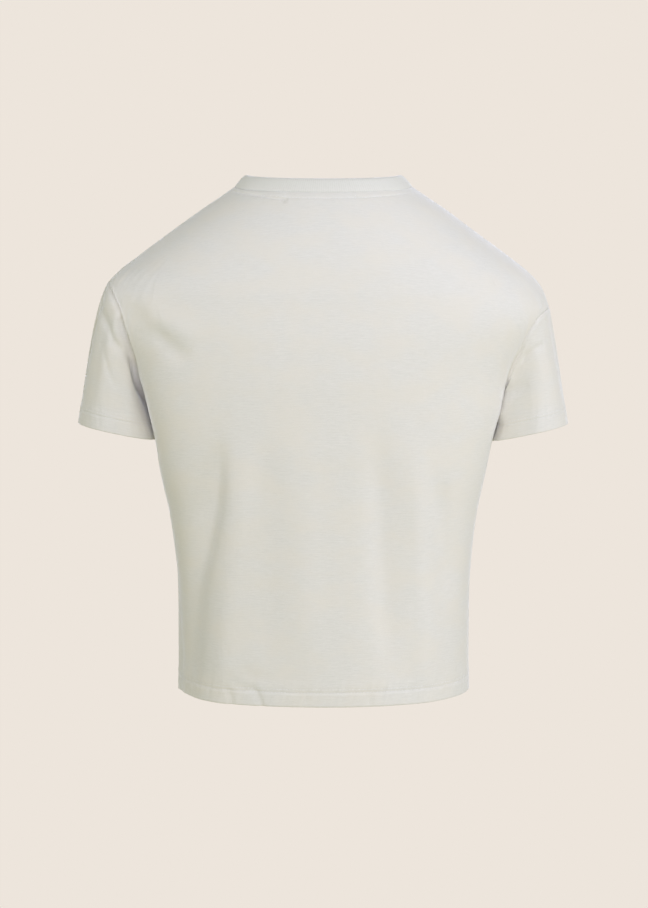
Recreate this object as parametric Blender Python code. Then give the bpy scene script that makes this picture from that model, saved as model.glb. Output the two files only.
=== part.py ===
"""Boxy crop top with drop shoulders, short sleeves and a ribbed neckband, in its worn form.

Five cloth pieces, each a closed wall: front_panel, back_panel, sleeve_left, sleeve_right and
neckband. Metres, +Z up. The front faces -Y, the wearer's left is +X, and the origin lies in the
middle of the neck opening at the height of the side neck. The torso is a stack of level sections
read from the tables below; the panels are laid on it as grids that follow the cloth's grain.
"""
import bpy
import numpy as np

# ---------------------------------------------------------------- driving sizes (metres)
WALL = 0.0020            # cloth wall
HEM_WALL = 0.0028        # wall where a hem is turned up
HEM_TURN = 0.0180        # height of the turned hems
HEM_STEP = 0.0016        # above a turned hem the wall thins back over this much
SEAM_GAP = 0.0003        # pieces stand this far apart at every seam
HEM_Z = -0.5142          # lower edge of the body, between the side seams' ends
HEM_TILT = 0.0100        # the hem hangs this much lower per metre toward the wearer's left
HEM_SAG = 0.0020         # and this much lower at its middle than at the side seams
UNDERARM_Y = -0.014               # y of both underarm points
UNDERARM_Z = {"left": -0.2250, "right": -0.2310}     # their heights
SIDE_SEAM_HEM_Y = -0.004          # y of the side seam at the hem
NECK_X = {"left": 0.0920, "right": 0.0890}        # centre to side neck
NECK_Z = 0.0018          # height of the side neck
NECK_BACK_Z = -0.0030    # centre back of the neckline
NECK_FRONT_Z = -0.0850   # centre front of the neckline
BAND_HEIGHT = 0.0180     # neckband, seam to fold
BAND_WALL = 0.0026       # neckband is two layers of rib
BAND_SWELL = 0.0011      # how far the middle of the band rounds out
BAND_SOFT = 0.0007       # how far the corners of its folded edge are taken in
BAND_LIFT = (46, 10, 12)          # degrees it rises at the sides, more at back and front, more in front
BAND_CENTRE_Y = -0.006            # the band leans in toward this y
EXP_BACK, EXP_FRONT = 2.2, 2.5    # roundness of the sections' back and front halves

SHOULDER_COLS, NECK_COLS = 9, 10  # grid columns per half along the shoulder and the neckline
BODY_ROWS, ARM_ROWS = 15, 18      # grid rows below the underarm and beside the armhole
SLEEVE_ROWS = 10
BAND_ROWS = 5
CURVE_SAMPLES = 241      # points along a curve that is spaced out by its length
SIDE_X = 0.150           # half width at the side seams' lower ends, where the hem's tilt is read
LEVEL_POWER = 5          # rows stay level low down and follow the shoulder by this power of height
GATHER_POWER = (2.2, 4.0)         # the same for columns at the neck, and more toward the shoulder
EDGE_HELD = 0.7          # share of the armhole above which columns keep their spacing

# outline of the torso by height: half width on the wearer's left and right,
# y of the widest line, depth of the back and of the front from y = 0
TORSO_COLUMNS = ("z", "left", "right", "widest_y", "back_y", "front_y")
TORSO = [
    (0.0200, 0.0690, 0.0680, 0.000, 0.040, -0.046),
    (0.0018, 0.0920, 0.0890, 0.000, 0.060, -0.056),
    (-0.0200, 0.1240, 0.1215, 0.000, 0.076, -0.064),
    (-0.0450, 0.1590, 0.1550, 0.000, 0.090, -0.073),
    (-0.0700, 0.1925, 0.1890, 0.000, 0.100, -0.084),
    (-0.0920, 0.2190, 0.2150, 0.000, 0.106, -0.094),
    (-0.1050, 0.2240, 0.2240, 0.004, 0.109, -0.100),
    (-0.1190, 0.2195, 0.2285, 0.010, 0.111, -0.106),
    (-0.1320, 0.2140, 0.2245, 0.016, 0.113, -0.111),
    (-0.1460, 0.2062, 0.2145, 0.021, 0.115, -0.116),
    (-0.1720, 0.1925, 0.1955, 0.028, 0.117, -0.122),
    (-0.1950, 0.1865, 0.1850, 0.030, 0.118, -0.125),
    (-0.2250, 0.1795, 0.1785, 0.031, 0.118, -0.126),
    (-0.2540, 0.1730, 0.1705, 0.030, 0.118, -0.126),
    (-0.2900, 0.1675, 0.1635, 0.026, 0.117, -0.126),
    (-0.3300, 0.1590, 0.1555, 0.020, 0.116, -0.125),
    (-0.3700, 0.1545, 0.1510, 0.014, 0.115, -0.124),
    (-0.4200, 0.1520, 0.1485, 0.008, 0.114, -0.122),
    (-0.4700, 0.1520, 0.1485, 0.003, 0.113, -0.120),
    (-0.5150, 0.1520, 0.1490, 0.000, 0.112, -0.118),
]

# armhole edge of each panel by share of the way from underarm (0) to shoulder point (1)
ARMHOLE_COLUMNS = ("share", "back_left", "back_right", "front_left", "front_right")
ARMHOLE = [
    (0.00, -0.014, -0.014, -0.014, -0.014),
    (0.05, -0.003, 0.002, -0.024, -0.024),
    (0.12, 0.010, 0.019, -0.034, -0.035),
    (0.24, 0.029, 0.037, -0.046, -0.047),
    (0.40, 0.044, 0.049, -0.054, -0.055),
    (0.60, 0.051, 0.054, -0.056, -0.056),
    (0.75, 0.052, 0.056, -0.051, -0.053),
    (0.87, 0.044, 0.048, -0.040, -0.043),
    (0.95, 0.027, 0.031, -0.024, -0.027),
    (1.00, 0.000, 0.000, 0.000, 0.000),
]
SHOULDER_POINT_Z = {"left": -0.0920, "right": -0.1190}
SLEEVE_REACH = {"left": 0.05, "right": 0.60}      # how soon each sleeve turns down from its seam

# opening of each sleeve: an oval ring that tips out and back
CUFF_CENTRE = {"left": (0.2145, -0.020), "right": (0.2100, -0.013)}
CUFF_HALF = (0.0405, 0.0600)      # half widths of the oval across and front to back
CUFF_POWER = {"left": 3.0, "right": 4.0}      # how square the oval is next to the body (2: round)
CUFF_OUTER_Z = -0.2410            # height of the outermost point of the ring
CUFF_TIP = (0.200, 0.035)         # rise per metre outward and per metre back
SLEEVE_GIRTH, SLEEVE_LENGTH = 0.34, 0.15      # mean sizes, in which the creases are measured
SEAM_PULL = (0.48, 0.22)          # how long the sleeve carries on from its seam, and more at the underarm
CUFF_PULL = (1.0, 0.2)            # how long it falls straight to its hem, and less at the underarm
CUFF_FLARE = (0.16, 0.03, 0.05)   # lean at the hem: outward outside, inward inside, toward back and front

# soft folds: raised (+) or sunk (-) by `depth` along a line through three places (x, z);
# `half` is the fold's half width and `face` is back or front
FOLD_COLUMNS = ("face", "x0", "z0", "x1", "z1", "x2", "z2", "half", "depth")
FOLDS = [
    ("back", 0.104, -0.240, 0.132, -0.380, 0.145, -0.515, 0.015, -0.0085),
    ("back", 0.078, -0.235, 0.092, -0.380, 0.102, -0.515, 0.015, 0.0034),
    ("back", 0.058, -0.225, 0.057, -0.360, 0.060, -0.500, 0.014, -0.0028),
    ("back", 0.022, -0.230, 0.022, -0.380, 0.018, -0.500, 0.018, 0.0014),
    ("back", -0.052, -0.215, -0.058, -0.360, -0.066, -0.500, 0.014, -0.0030),
    ("back", -0.090, -0.235, -0.096, -0.380, -0.102, -0.515, 0.014, 0.0030),
    ("back", -0.112, -0.270, -0.117, -0.350, -0.128, -0.420, 0.011, -0.0030),
    ("back", 0.200, -0.100, 0.160, -0.130, 0.118, -0.152, 0.012, 0.0022),
    ("back", 0.178, -0.134, 0.155, -0.156, 0.132, -0.172, 0.010, -0.0024),
    ("front", 0.100, -0.230, 0.112, -0.380, 0.118, -0.515, 0.014, -0.0044),
    ("front", 0.056, -0.200, 0.070, -0.350, 0.072, -0.515, 0.016, 0.0024),
    ("front", -0.020, -0.230, -0.026, -0.360, -0.024, -0.490, 0.013, -0.0018),
    ("front", -0.088, -0.220, -0.104, -0.370, -0.112, -0.515, 0.015, -0.0040),
    ("front", -0.168, -0.150, -0.140, -0.172, -0.112, -0.190, 0.012, -0.0024),
    ("front", 0.166, -0.140, 0.136, -0.168, 0.112, -0.186, 0.011, -0.0026),
]

# creases of the sleeves: place round the tube in turns from the top (back half 0 to 0.5),
# share of the way down, then the same for the crease's other end
CREASE_COLUMNS = ("side", "turn0", "down0", "turn1", "down1", "half", "depth")
CREASES = [
    ("left", 0.10, 0.18, 0.34, 0.52, 0.0065, -0.0026),
    ("left", 0.13, 0.42, 0.32, 0.66, 0.0060, -0.0016),
    ("left", 0.90, 0.20, 0.66, 0.50, 0.0070, -0.0024),
    ("right", 0.20, 0.34, 0.36, 0.42, 0.0060, -0.0030),
    ("right", 0.14, 0.26, 0.24, 0.34, 0.0060, -0.0016),
    ("right", 0.24, 0.56, 0.36, 0.62, 0.0070, -0.0022),
    ("right", 0.88, 0.24, 0.68, 0.54, 0.0070, -0.0024),
]

COLOURS = {              # linear colour of each piece
    "front_panel": (0.733, 0.723, 0.680),
    "back_panel": (0.733, 0.723, 0.680),
    "sleeve_left": (0.720, 0.710, 0.665),
    "sleeve_right": (0.728, 0.718, 0.673),
    "neckband": (0.740, 0.728, 0.682),
}


# ---------------------------------------------------------------- reading the tables
def smooth_curve(xs, ys):
    """A curve through the table's values that never overshoots them."""
    xs, ys = np.asarray(xs, float), np.asarray(ys, float)
    order = np.argsort(xs)
    xs, ys = xs[order], ys[order]
    step, rise = np.diff(xs), np.diff(ys)
    slope = rise / step
    tangent = np.zeros_like(ys)
    for i in range(1, len(xs) - 1):
        if slope[i - 1] * slope[i] > 0:
            w1, w2 = 2 * step[i] + step[i - 1], step[i] + 2 * step[i - 1]
            tangent[i] = (w1 + w2) / (w1 / slope[i - 1] + w2 / slope[i])
    tangent[0], tangent[-1] = slope[0], slope[-1]

    def at(x):
        x = np.clip(np.asarray(x, float), xs[0], xs[-1])
        k = np.clip(np.searchsorted(xs, x) - 1, 0, len(step) - 1)
        t = (x - xs[k]) / step[k]
        return ((2 * t ** 3 - 3 * t ** 2 + 1) * ys[k] + (t ** 3 - 2 * t ** 2 + t) * step[k] * tangent[k]
                + (3 * t ** 2 - 2 * t ** 3) * ys[k + 1] + (t ** 3 - t ** 2) * step[k] * tangent[k + 1])
    return at


def column(table, names, name):
    return [row[names.index(name)] for row in table]


TORSO_AT = {name: smooth_curve(column(TORSO, TORSO_COLUMNS, "z"), column(TORSO, TORSO_COLUMNS, name))
            for name in TORSO_COLUMNS[1:]}
ARMHOLE_AT = {name: smooth_curve(column(ARMHOLE, ARMHOLE_COLUMNS, "share"),
                                 column(ARMHOLE, ARMHOLE_COLUMNS, name))
              for name in ARMHOLE_COLUMNS[1:]}


def smoothstep(a, b, x):
    t = min(max((x - a) / (b - a), 0.0), 1.0)
    return t * t * (3 - 2 * t)


# ---------------------------------------------------------------- the torso's surface
def section_point(side, z, turn):
    """Point of the torso at height z; turn 0 is the centre back, 1 the widest line, 2 the centre
    front. `side` is left or right."""
    half = float(TORSO_AT[side](z))
    mid = float(TORSO_AT["widest_y"](z))
    angle = turn * np.pi / 2
    if turn <= 1.0:
        power, depth = EXP_BACK, float(TORSO_AT["back_y"](z)) - mid
    else:
        power, depth = EXP_FRONT, mid - float(TORSO_AT["front_y"](z))
    across = abs(np.sin(angle)) ** (2 / power)
    along = np.sign(np.cos(angle)) * abs(np.cos(angle)) ** (2 / power)
    sign = 1.0 if side == "left" else -1.0
    return np.array([sign * half * across, mid + depth * along, z])


def turn_of_y(z, y):
    """The turn at which the section at height z has this y."""
    mid = float(TORSO_AT["widest_y"](z))
    if y >= mid:
        power, depth = EXP_BACK, float(TORSO_AT["back_y"](z)) - mid
        return float(np.arccos(min((y - mid) / depth, 1.0) ** (power / 2)) / (np.pi / 2))
    power, depth = EXP_FRONT, mid - float(TORSO_AT["front_y"](z))
    return 2.0 - float(np.arccos(min((mid - y) / depth, 1.0) ** (power / 2)) / (np.pi / 2))


def turn_of_x(face, side, z, x):
    """The turn at which the section at height z has this half width, on the given face."""
    share = min(x / float(TORSO_AT[side](z)), 1.0)
    power = EXP_BACK if face == "back" else EXP_FRONT
    turn = float(np.arcsin(share ** (power / 2)) / (np.pi / 2))
    return turn if face == "back" else 2.0 - turn


def edge_turn(face, side, z):
    """Turn of the panel's side edge at height z: the side seam, then the armhole."""
    if z <= UNDERARM_Z[side]:
        share = (z - HEM_Z) / (UNDERARM_Z[side] - HEM_Z)
        return turn_of_y(z, SIDE_SEAM_HEM_Y + share * (UNDERARM_Y - SIDE_SEAM_HEM_Y))
    top = SHOULDER_POINT_Z[side]
    if z >= top:
        return 1.0
    share = (z - UNDERARM_Z[side]) / (top - UNDERARM_Z[side])
    onto_ridge = float(TORSO_AT["widest_y"](top)) * smoothstep(0.75, 1.0, share)
    return turn_of_y(z, float(ARMHOLE_AT[face + "_" + side](share)) + onto_ridge)


def neckline_z(face, side, x):
    """Height of the neckline at half width x."""
    round_off = np.sqrt(max(0.0, 1 - (x / NECK_X[side]) ** 2))
    low = NECK_BACK_Z if face == "back" else NECK_FRONT_Z
    return NECK_Z + (low - NECK_Z) * round_off


def shoulder_z(side, share):
    """Height on the shoulder line at a share of the way from side neck to shoulder point."""
    heights = np.linspace(NECK_Z, SHOULDER_POINT_Z[side], CURVE_SAMPLES)
    steps = np.hypot(np.diff(heights), np.diff(TORSO_AT[side](heights)))
    run = np.concatenate([[0.0], np.cumsum(steps)])
    return float(np.interp(share * run[-1], run, heights))


HALF_COLS = SHOULDER_COLS + NECK_COLS


def neckline_steps(face, side):
    """Half widths of the neckline's grid columns, spaced evenly along its curve."""
    angles = np.linspace(0, np.pi / 2, CURVE_SAMPLES)
    points = []
    for x in NECK_X[side] * np.sin(angles):
        z = neckline_z(face, side, x)
        points.append(section_point(side, z, turn_of_x(face, side, z, x)))
    points[-1] = section_point(side, NECK_Z, 1.0)
    run = np.concatenate([[0.0], np.cumsum(np.linalg.norm(np.diff(points, axis=0), axis=1))])
    return NECK_X[side] * np.sin(np.interp(np.linspace(0, run[-1], NECK_COLS + 1), run, angles))


NECK_STEPS = {(face, side): neckline_steps(face, side)
              for face in ("back", "front") for side in ("left", "right")}


def top_place(face, side, k):
    """Height and turn of the upper end of column k: on the neckline or on the shoulder line."""
    if k < NECK_COLS:
        x = NECK_STEPS[face, side][k]
        z = neckline_z(face, side, x)
        return z, turn_of_x(face, side, z, x)
    return shoulder_z(side, (k - NECK_COLS) / SHOULDER_COLS), 1.0


def edge_height(side, row):
    """Height of a panel's side edge at a grid row: turned hem, side seam, then armhole."""
    hem = HEM_Z - HEM_TILT * (SIDE_X if side == "left" else -SIDE_X)
    if row == 0:
        return hem
    if row <= BODY_ROWS:
        first = HEM_TURN if row == 1 else HEM_TURN + HEM_STEP
        return hem + first + max(0, row - 2) / (BODY_ROWS - 2) * (UNDERARM_Z[side] - hem - first)
    share = (row - BODY_ROWS) / ARM_ROWS
    eased = 1 - (1 - share) ** 1.5
    eased = eased * (0.35 + 2.2 * share) if share < 0.295 else eased
    return UNDERARM_Z[side] + eased * (SHOULDER_POINT_Z[side] - UNDERARM_Z[side])


def panel_place(face, side, k, row):
    """Height and turn of a grid point for column k (0 centre to HALF_COLS edge) and a row."""
    if k == HALF_COLS:
        z = edge_height(side, row)
        return z, edge_turn(face, side, z)
    z_top, turn_top = top_place(face, side, k)
    # level rows low down, rows that follow the shoulder and neckline at the top
    own = (k / HALF_COLS) ** 2
    mean = 0.5 * (edge_height("left", row) + edge_height("right", row))
    mean_tip = 0.5 * (SHOULDER_POINT_Z["left"] + SHOULDER_POINT_Z["right"])
    level = mean + (edge_height(side, row) - mean) * own
    level -= HEM_SAG * (1 - own) * max(0.0, 1 - row / BODY_ROWS)
    tip = mean_tip + (SHOULDER_POINT_Z[side] - mean_tip) * own
    climb = (level - HEM_Z) / (tip - HEM_Z)
    z = level + (z_top - tip) * climb ** LEVEL_POWER
    # even turns across low down, gathered to the neckline and shoulder line at the top
    share = max(0, row - BODY_ROWS) / ARM_ROWS
    held = UNDERARM_Z[side] + EDGE_HELD * (SHOULDER_POINT_Z[side] - UNDERARM_Z[side])
    edge = edge_turn(face, side, min(edge_height(side, row), held))
    start = 0.0 if face == "back" else 2.0
    low = start + (edge - start) * k / HALF_COLS
    rise = share ** (GATHER_POWER[0] + GATHER_POWER[1] * max(0, k - NECK_COLS) / SHOULDER_COLS)
    return z, (1 - rise) * low + rise * turn_top


def section_outward(side, z, turn):
    """Outward unit normal of the torso at a height and turn."""
    step_z, step_turn = 0.0006, 0.0015
    near_ends = min(max(turn, 2 * step_turn), 2 - 2 * step_turn)
    up = section_point(side, z + step_z, near_ends) - section_point(side, z - step_z, near_ends)
    around = (section_point(side, z, near_ends + step_turn)
              - section_point(side, z, near_ends - step_turn))
    normal = unit(np.cross(up, around))
    if normal @ (section_point(side, z, near_ends) * np.array([1, 1, 0])) < 0:
        normal = -normal
    if turn < 0.004 or turn > 1.996:
        normal[0] = 0.0
    return unit(normal)


def fold_height(face, point, edge_fade):
    """Sum of the folds at a point of a panel, faded out toward its seams."""
    total = 0.0
    for name, x0, z0, x1, z1, x2, z2, half, depth in FOLDS:
        if name != face:
            continue
        best, where = 1e9, 0.0
        for part, (ax, az, bx, bz) in enumerate(((x0, z0, x1, z1), (x1, z1, x2, z2))):
            dx, dz = bx - ax, bz - az
            t = ((point[0] - ax) * dx + (point[2] - az) * dz) / (dx * dx + dz * dz)
            t = min(max(t, 0.0), 1.0)
            gap = np.hypot(point[0] - ax - t * dx, point[2] - az - t * dz)
            if gap < best:
                best, where = gap, (part + t) / 2
        ends = smoothstep(0.0, 0.30, where)
        if z2 > HEM_Z + 0.001:
            ends *= 1 - smoothstep(0.70, 1.0, where)
        total += depth * np.exp(-(best / half) ** 2) * ends
    return total * edge_fade


# ---------------------------------------------------------------- grids of points
def unit(v):
    return v / np.linalg.norm(v)


def grid_normals(grid, wrap=False):
    """Unit normals of a rows x columns grid."""
    rows, cols, _ = grid.shape
    normals = np.zeros_like(grid)
    for i in range(rows):
        for j in range(cols):
            up = grid[min(i + 1, rows - 1), j] - grid[max(i - 1, 0), j]
            if wrap:
                along = grid[i, (j + 1) % cols] - grid[i, (j - 1) % cols]
            else:
                along = grid[i, min(j + 1, cols - 1)] - grid[i, max(j - 1, 0)]
            normals[i, j] = unit(np.cross(along, up))
    return normals


def panel_grid(face):
    """Outer points and outward vectors of a panel, from the wearer's right edge to the left."""
    rows, cols = BODY_ROWS + ARM_ROWS + 1, 2 * HALF_COLS + 1
    grid, out = np.zeros((rows, cols, 3)), np.zeros((rows, cols, 3))
    for i in range(rows):
        for j in range(cols):
            side, k = ("left" if j >= HALF_COLS else "right"), abs(j - HALF_COLS)
            z, turn = panel_place(face, side, k, i)
            point = section_point(side, z, turn)
            out[i, j] = section_outward(side, z, turn)
            edge = min(j, cols - 1 - j)
            fade = smoothstep(0, 4, edge) * smoothstep(0, 5, rows - 1 - i)
            grid[i, j] = point + out[i, j] * fold_height(face, point, fade)
    return grid, out


def seam_runs(points):
    """The direction of a seam line at each of its points."""
    last = len(points) - 1
    return [unit(points[min(i + 1, last)] - points[max(i - 1, 0)]) for i in range(last + 1)]


def ridge_outward(grid, j):
    """Outward vector of the shoulder line at column j, square to Y."""
    a, b = max(j - 1, 0), min(j + 1, 2 * HALF_COLS)
    if j == HALF_COLS - NECK_COLS:
        b = j
    if j == HALF_COLS + NECK_COLS:
        a = j
    run = unit((grid[-1, b] - grid[-1, a]) * np.array([1, 0, 1]))
    out = np.cross(run, [0, 1, 0])
    return out * (1 if out[2] > 0 else -1)


# ---------------------------------------------------------------- from grid to closed wall
def wall_mesh(outer, inner, wrap):
    """Vertices and faces of a closed wall between two grids, edges closed by strips."""
    rows, cols, _ = outer.shape
    verts = [tuple(p) for p in outer.reshape(-1, 3)] + [tuple(p) for p in inner.reshape(-1, 3)]
    shift = rows * cols
    faces = []
    last = cols if wrap else cols - 1
    for i in range(rows - 1):
        for j in range(last):
            a, b = i * cols + j, i * cols + (j + 1) % cols
            c, d = (i + 1) * cols + (j + 1) % cols, (i + 1) * cols + j
            faces.append((a, b, c, d))
            faces.append((a + shift, d + shift, c + shift, b + shift))
    for j in range(last):
        a, b = j, (j + 1) % cols
        faces.append((a, a + shift, b + shift, b))
        a, b = (rows - 1) * cols + j, (rows - 1) * cols + (j + 1) % cols
        faces.append((a, b, b + shift, a + shift))
    if not wrap:
        for i in range(rows - 1):
            a, b = i * cols, (i + 1) * cols
            faces.append((a, b, b + shift, a + shift))
            a, b = i * cols + cols - 1, (i + 1) * cols + cols - 1
            faces.append((a, a + shift, b + shift, b))
    return verts, faces


def make_object(name, outer, inner, wrap, flip):
    verts, faces = wall_mesh(outer, inner, wrap)
    if flip:
        faces = [tuple(reversed(face)) for face in faces]
    mesh = bpy.data.meshes.new(name)
    mesh.from_pydata(verts, [], faces)
    mesh.validate()
    mesh.shade_smooth()
    mesh.set_sharp_from_angle(angle=np.radians(50))
    obj = bpy.data.objects.new(name, mesh)
    bpy.context.scene.collection.objects.link(obj)
    material = bpy.data.materials.new(name + "_cloth")
    material.use_nodes = True
    shader = material.node_tree.nodes["Principled BSDF"]
    shader.inputs["Base Color"].default_value = (*COLOURS[name], 1.0)
    shader.inputs["Roughness"].default_value = 0.9
    shader.inputs["Metallic"].default_value = 0.0
    mesh.materials.append(material)
    return obj


# ---------------------------------------------------------------- sleeves
def cuff_point(side, turn):
    """Point of the sleeve's opening; turn 0 is outermost, 0.25 the back, 0.5 next to the body."""
    cx, cy = CUFF_CENTRE[side]
    across, back = np.cos(2 * np.pi * turn), np.sin(2 * np.pi * turn)
    bend = 2 / CUFF_POWER[side] if across < 0 else 1.0
    x = cx + CUFF_HALF[0] * np.sign(across) * abs(across) ** bend
    y = cy + CUFF_HALF[1] * np.sign(back) * abs(back) ** bend
    z = CUFF_OUTER_Z - CUFF_TIP[0] * (cx + CUFF_HALF[0] - x) + CUFF_TIP[1] * (y - cy)
    return np.array([x if side == "left" else -x, y, z])


def armhole_loop(side, grids):
    """The armhole as a closed line: shoulder point, down the back, underarm, up the front."""
    j = 2 * HALF_COLS if side == "left" else 0
    top = BODY_ROWS + ARM_ROWS
    back = [grids["back"][i, j] for i in range(top, BODY_ROWS, -1)]
    front = [grids["front"][i, j] for i in range(BODY_ROWS, top)]
    return np.array(back + front)


def loop_turns(loop):
    """Place of each point round the loop, in turns, with the underarm at one half."""
    steps = np.linalg.norm(np.roll(loop, -1, axis=0) - loop, axis=1)
    run = np.concatenate([[0.0], np.cumsum(steps)])
    half = run[ARM_ROWS]
    total = run[-1]
    return np.array([0.5 * r / half if r <= half else 0.5 + 0.5 * (r - half) / (total - half)
                     for r in run[:-1]])


def sleeve_start(side, loop, onward):
    """Direction in which the sleeve leaves the armhole at each point; `onward` carries the panel on."""
    turns = loop_turns(loop)
    sign = 1.0 if side == "left" else -1.0
    directions = []
    for point, turn, ahead in zip(loop, turns, onward):
        reach = unit(cuff_point(side, turn) - point)
        low = min(1.0, 0.9 * (1 - np.cos(2 * np.pi * turn)))
        directions.append(unit(0.6 * ahead + 0.75 * low * np.array([sign, 0, 0])
                               + SLEEVE_REACH[side] * (1 - low) * reach))
    return np.array(directions)


def sleeve_grid(side, loop, starts, shift):
    """Outer points of a sleeve from the armhole (row 0) to its hem (last row)."""
    turns = loop_turns(loop)
    sign = 1.0 if side == "left" else -1.0
    rows = SLEEVE_ROWS + 3
    grid = np.zeros((rows, len(loop), 3))
    for j, (point, turn) in enumerate(zip(loop, turns)):
        end = cuff_point(side, turn)
        first = point + shift[j]
        length = np.linalg.norm(end - first)
        outer, inner = max(np.cos(2 * np.pi * turn), 0), max(-np.cos(2 * np.pi * turn), 0)
        down = unit(np.array([sign * (CUFF_FLARE[0] * outer - CUFF_FLARE[1] * inner),
                              CUFF_FLARE[2] * np.sin(2 * np.pi * turn), -1.0]))
        t0 = starts[j] * length * (SEAM_PULL[0] + SEAM_PULL[1] * inner)
        t1 = down * length * (CUFF_PULL[0] - CUFF_PULL[1] * inner)
        speed = np.linalg.norm(t1)             # metres of sleeve per unit of share at the hem
        before_hem = 1 - (HEM_TURN + HEM_STEP) / speed
        shares = [before_hem * i / SLEEVE_ROWS for i in range(SLEEVE_ROWS + 1)]
        shares += [1 - HEM_TURN / speed, 1.0]
        for i, t in enumerate(shares):
            grid[i, j] = ((2 * t ** 3 - 3 * t ** 2 + 1) * first + (t ** 3 - 2 * t ** 2 + t) * t0
                          + (3 * t ** 2 - 2 * t ** 3) * end + (t ** 3 - t ** 2) * t1)
    outward = grid_normals(grid, wrap=True)
    centre = grid.mean(axis=1)
    for i in range(rows):
        for j in range(len(loop)):
            if np.dot(outward[i, j], grid[i, j] - centre[i]) < 0 and i > 2:
                outward[i, j] *= -1
    folded = grid.copy()
    for i in range(1, rows):
        down = i / (rows - 1)
        for j in range(len(loop)):
            total = 0.0
            for name, turn0, down0, turn1, down1, half, depth in CREASES:
                if name != side:
                    continue
                ax, ay = turn0 * SLEEVE_GIRTH, down0 * SLEEVE_LENGTH
                bx, by = turn1 * SLEEVE_GIRTH, down1 * SLEEVE_LENGTH
                px, py = turns[j] * SLEEVE_GIRTH, down * SLEEVE_LENGTH
                t = ((px - ax) * (bx - ax) + (py - ay) * (by - ay)) / ((bx - ax) ** 2 + (by - ay) ** 2)
                t = min(max(t, 0.0), 1.0)
                gap = np.hypot(px - ax - t * (bx - ax), py - ay - t * (by - ay))
                total += depth * np.exp(-(gap / half) ** 2)
            folded[i, j] += outward[i, j] * total * smoothstep(0, 3, i)
    return folded


# ---------------------------------------------------------------- build the five pieces
for old in list(bpy.data.objects):
    bpy.data.objects.remove(old)

GAP = SEAM_GAP / 2
TOP = BODY_ROWS + ARM_ROWS
LEFT_EDGE, RIGHT_EDGE = 2 * HALF_COLS, 0
grids, outward = {}, {}
for face in ("back", "front"):
    grids[face], outward[face] = panel_grid(face)

# armholes: the line, and at each point the outward vector and the way toward the sleeve
loops, loop_out, loop_across, loop_start = {}, {}, {}, {}
for side in ("left", "right"):
    j = LEFT_EDGE if side == "left" else RIGHT_EDGE
    loop = armhole_loop(side, grids)
    count = len(loop)
    cloth_out = np.array([outward["back"][i, j] for i in range(TOP, BODY_ROWS, -1)]
                         + [outward["front"][i, j] for i in range(BODY_ROWS, TOP)])
    cloth_out[0] = ridge_outward(grids["back"], j)
    cloth_out[ARM_ROWS] = unit(outward["back"][BODY_ROWS, j] + outward["front"][BODY_ROWS, j])
    onward = np.zeros_like(loop)
    for n in range(count):
        run = unit(loop[(n + 1) % count] - loop[(n - 1) % count])
        panel_out = unit(cloth_out[n] - run * np.dot(cloth_out[n], run))
        onward[n] = np.cross(run, panel_out) * (1.0 if side == "left" else -1.0)
    starts = sleeve_start(side, loop, onward)
    outs, across = np.zeros_like(loop), np.zeros_like(loop)
    for n in range(count):
        run = unit(loop[(n + 1) % count] - loop[(n - 1) % count])
        sleeve_out = np.cross(starts[n], run) * (1.0 if side == "left" else -1.0)
        panel_out = cloth_out[n] - run * np.dot(cloth_out[n], run)
        outs[n] = unit(unit(panel_out) + unit(sleeve_out))
        across[n] = np.cross(run, outs[n]) * (1.0 if side == "left" else -1.0)
    loops[side], loop_out[side], loop_across[side], loop_start[side] = loop, outs, across, starts

# neckline: back from the wearer's right to left, then front from left to right
neck_cols = list(range(HALF_COLS - NECK_COLS, HALF_COLS + NECK_COLS + 1))
neck_line = np.array([grids["back"][TOP, j] for j in neck_cols]
                     + [grids["front"][TOP, j] for j in neck_cols[-2:0:-1]])
neck_outward = np.array([outward["back"][TOP, j] for j in neck_cols]
                        + [outward["front"][TOP, j] for j in neck_cols[-2:0:-1]])
neck_count = len(neck_line)
neck_outward[0] = ridge_outward(grids["back"], neck_cols[0])
neck_outward[len(neck_cols) - 1] = ridge_outward(grids["back"], neck_cols[-1])
neck_out, neck_across = np.zeros_like(neck_line), np.zeros_like(neck_line)
band_up = np.zeros_like(neck_line)
for n in range(neck_count):
    run = unit(neck_line[(n + 1) % neck_count] - neck_line[(n - 1) % neck_count])
    turn = n / neck_count                      # 0.25 is the centre back, 0.75 the centre front
    frontness = 0.5 - 0.5 * np.sin(2 * np.pi * turn)
    inward = unit(np.array([-neck_line[n][0], BAND_CENTRE_Y - neck_line[n][1], 0.0]))
    lift = np.radians(BAND_LIFT[0] + BAND_LIFT[1] * abs(np.sin(2 * np.pi * turn))
                      + BAND_LIFT[2] * frontness ** 2)
    band_up[n] = inward * np.cos(lift) + np.array([0, 0, np.sin(lift)])
    band_out = unit(np.cross(band_up[n], run))
    if np.dot(band_out, neck_line[n] * np.array([1, 1, 0])) < 0:
        band_out = -band_out
    panel_out = neck_outward[n] - run * np.dot(neck_outward[n], run)
    neck_out[n] = unit(unit(panel_out) + band_out)
    neck_across[n] = unit(np.cross(neck_out[n], run))
    if np.dot(neck_across[n], band_up[n]) < 0:
        neck_across[n] = -neck_across[n]

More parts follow.
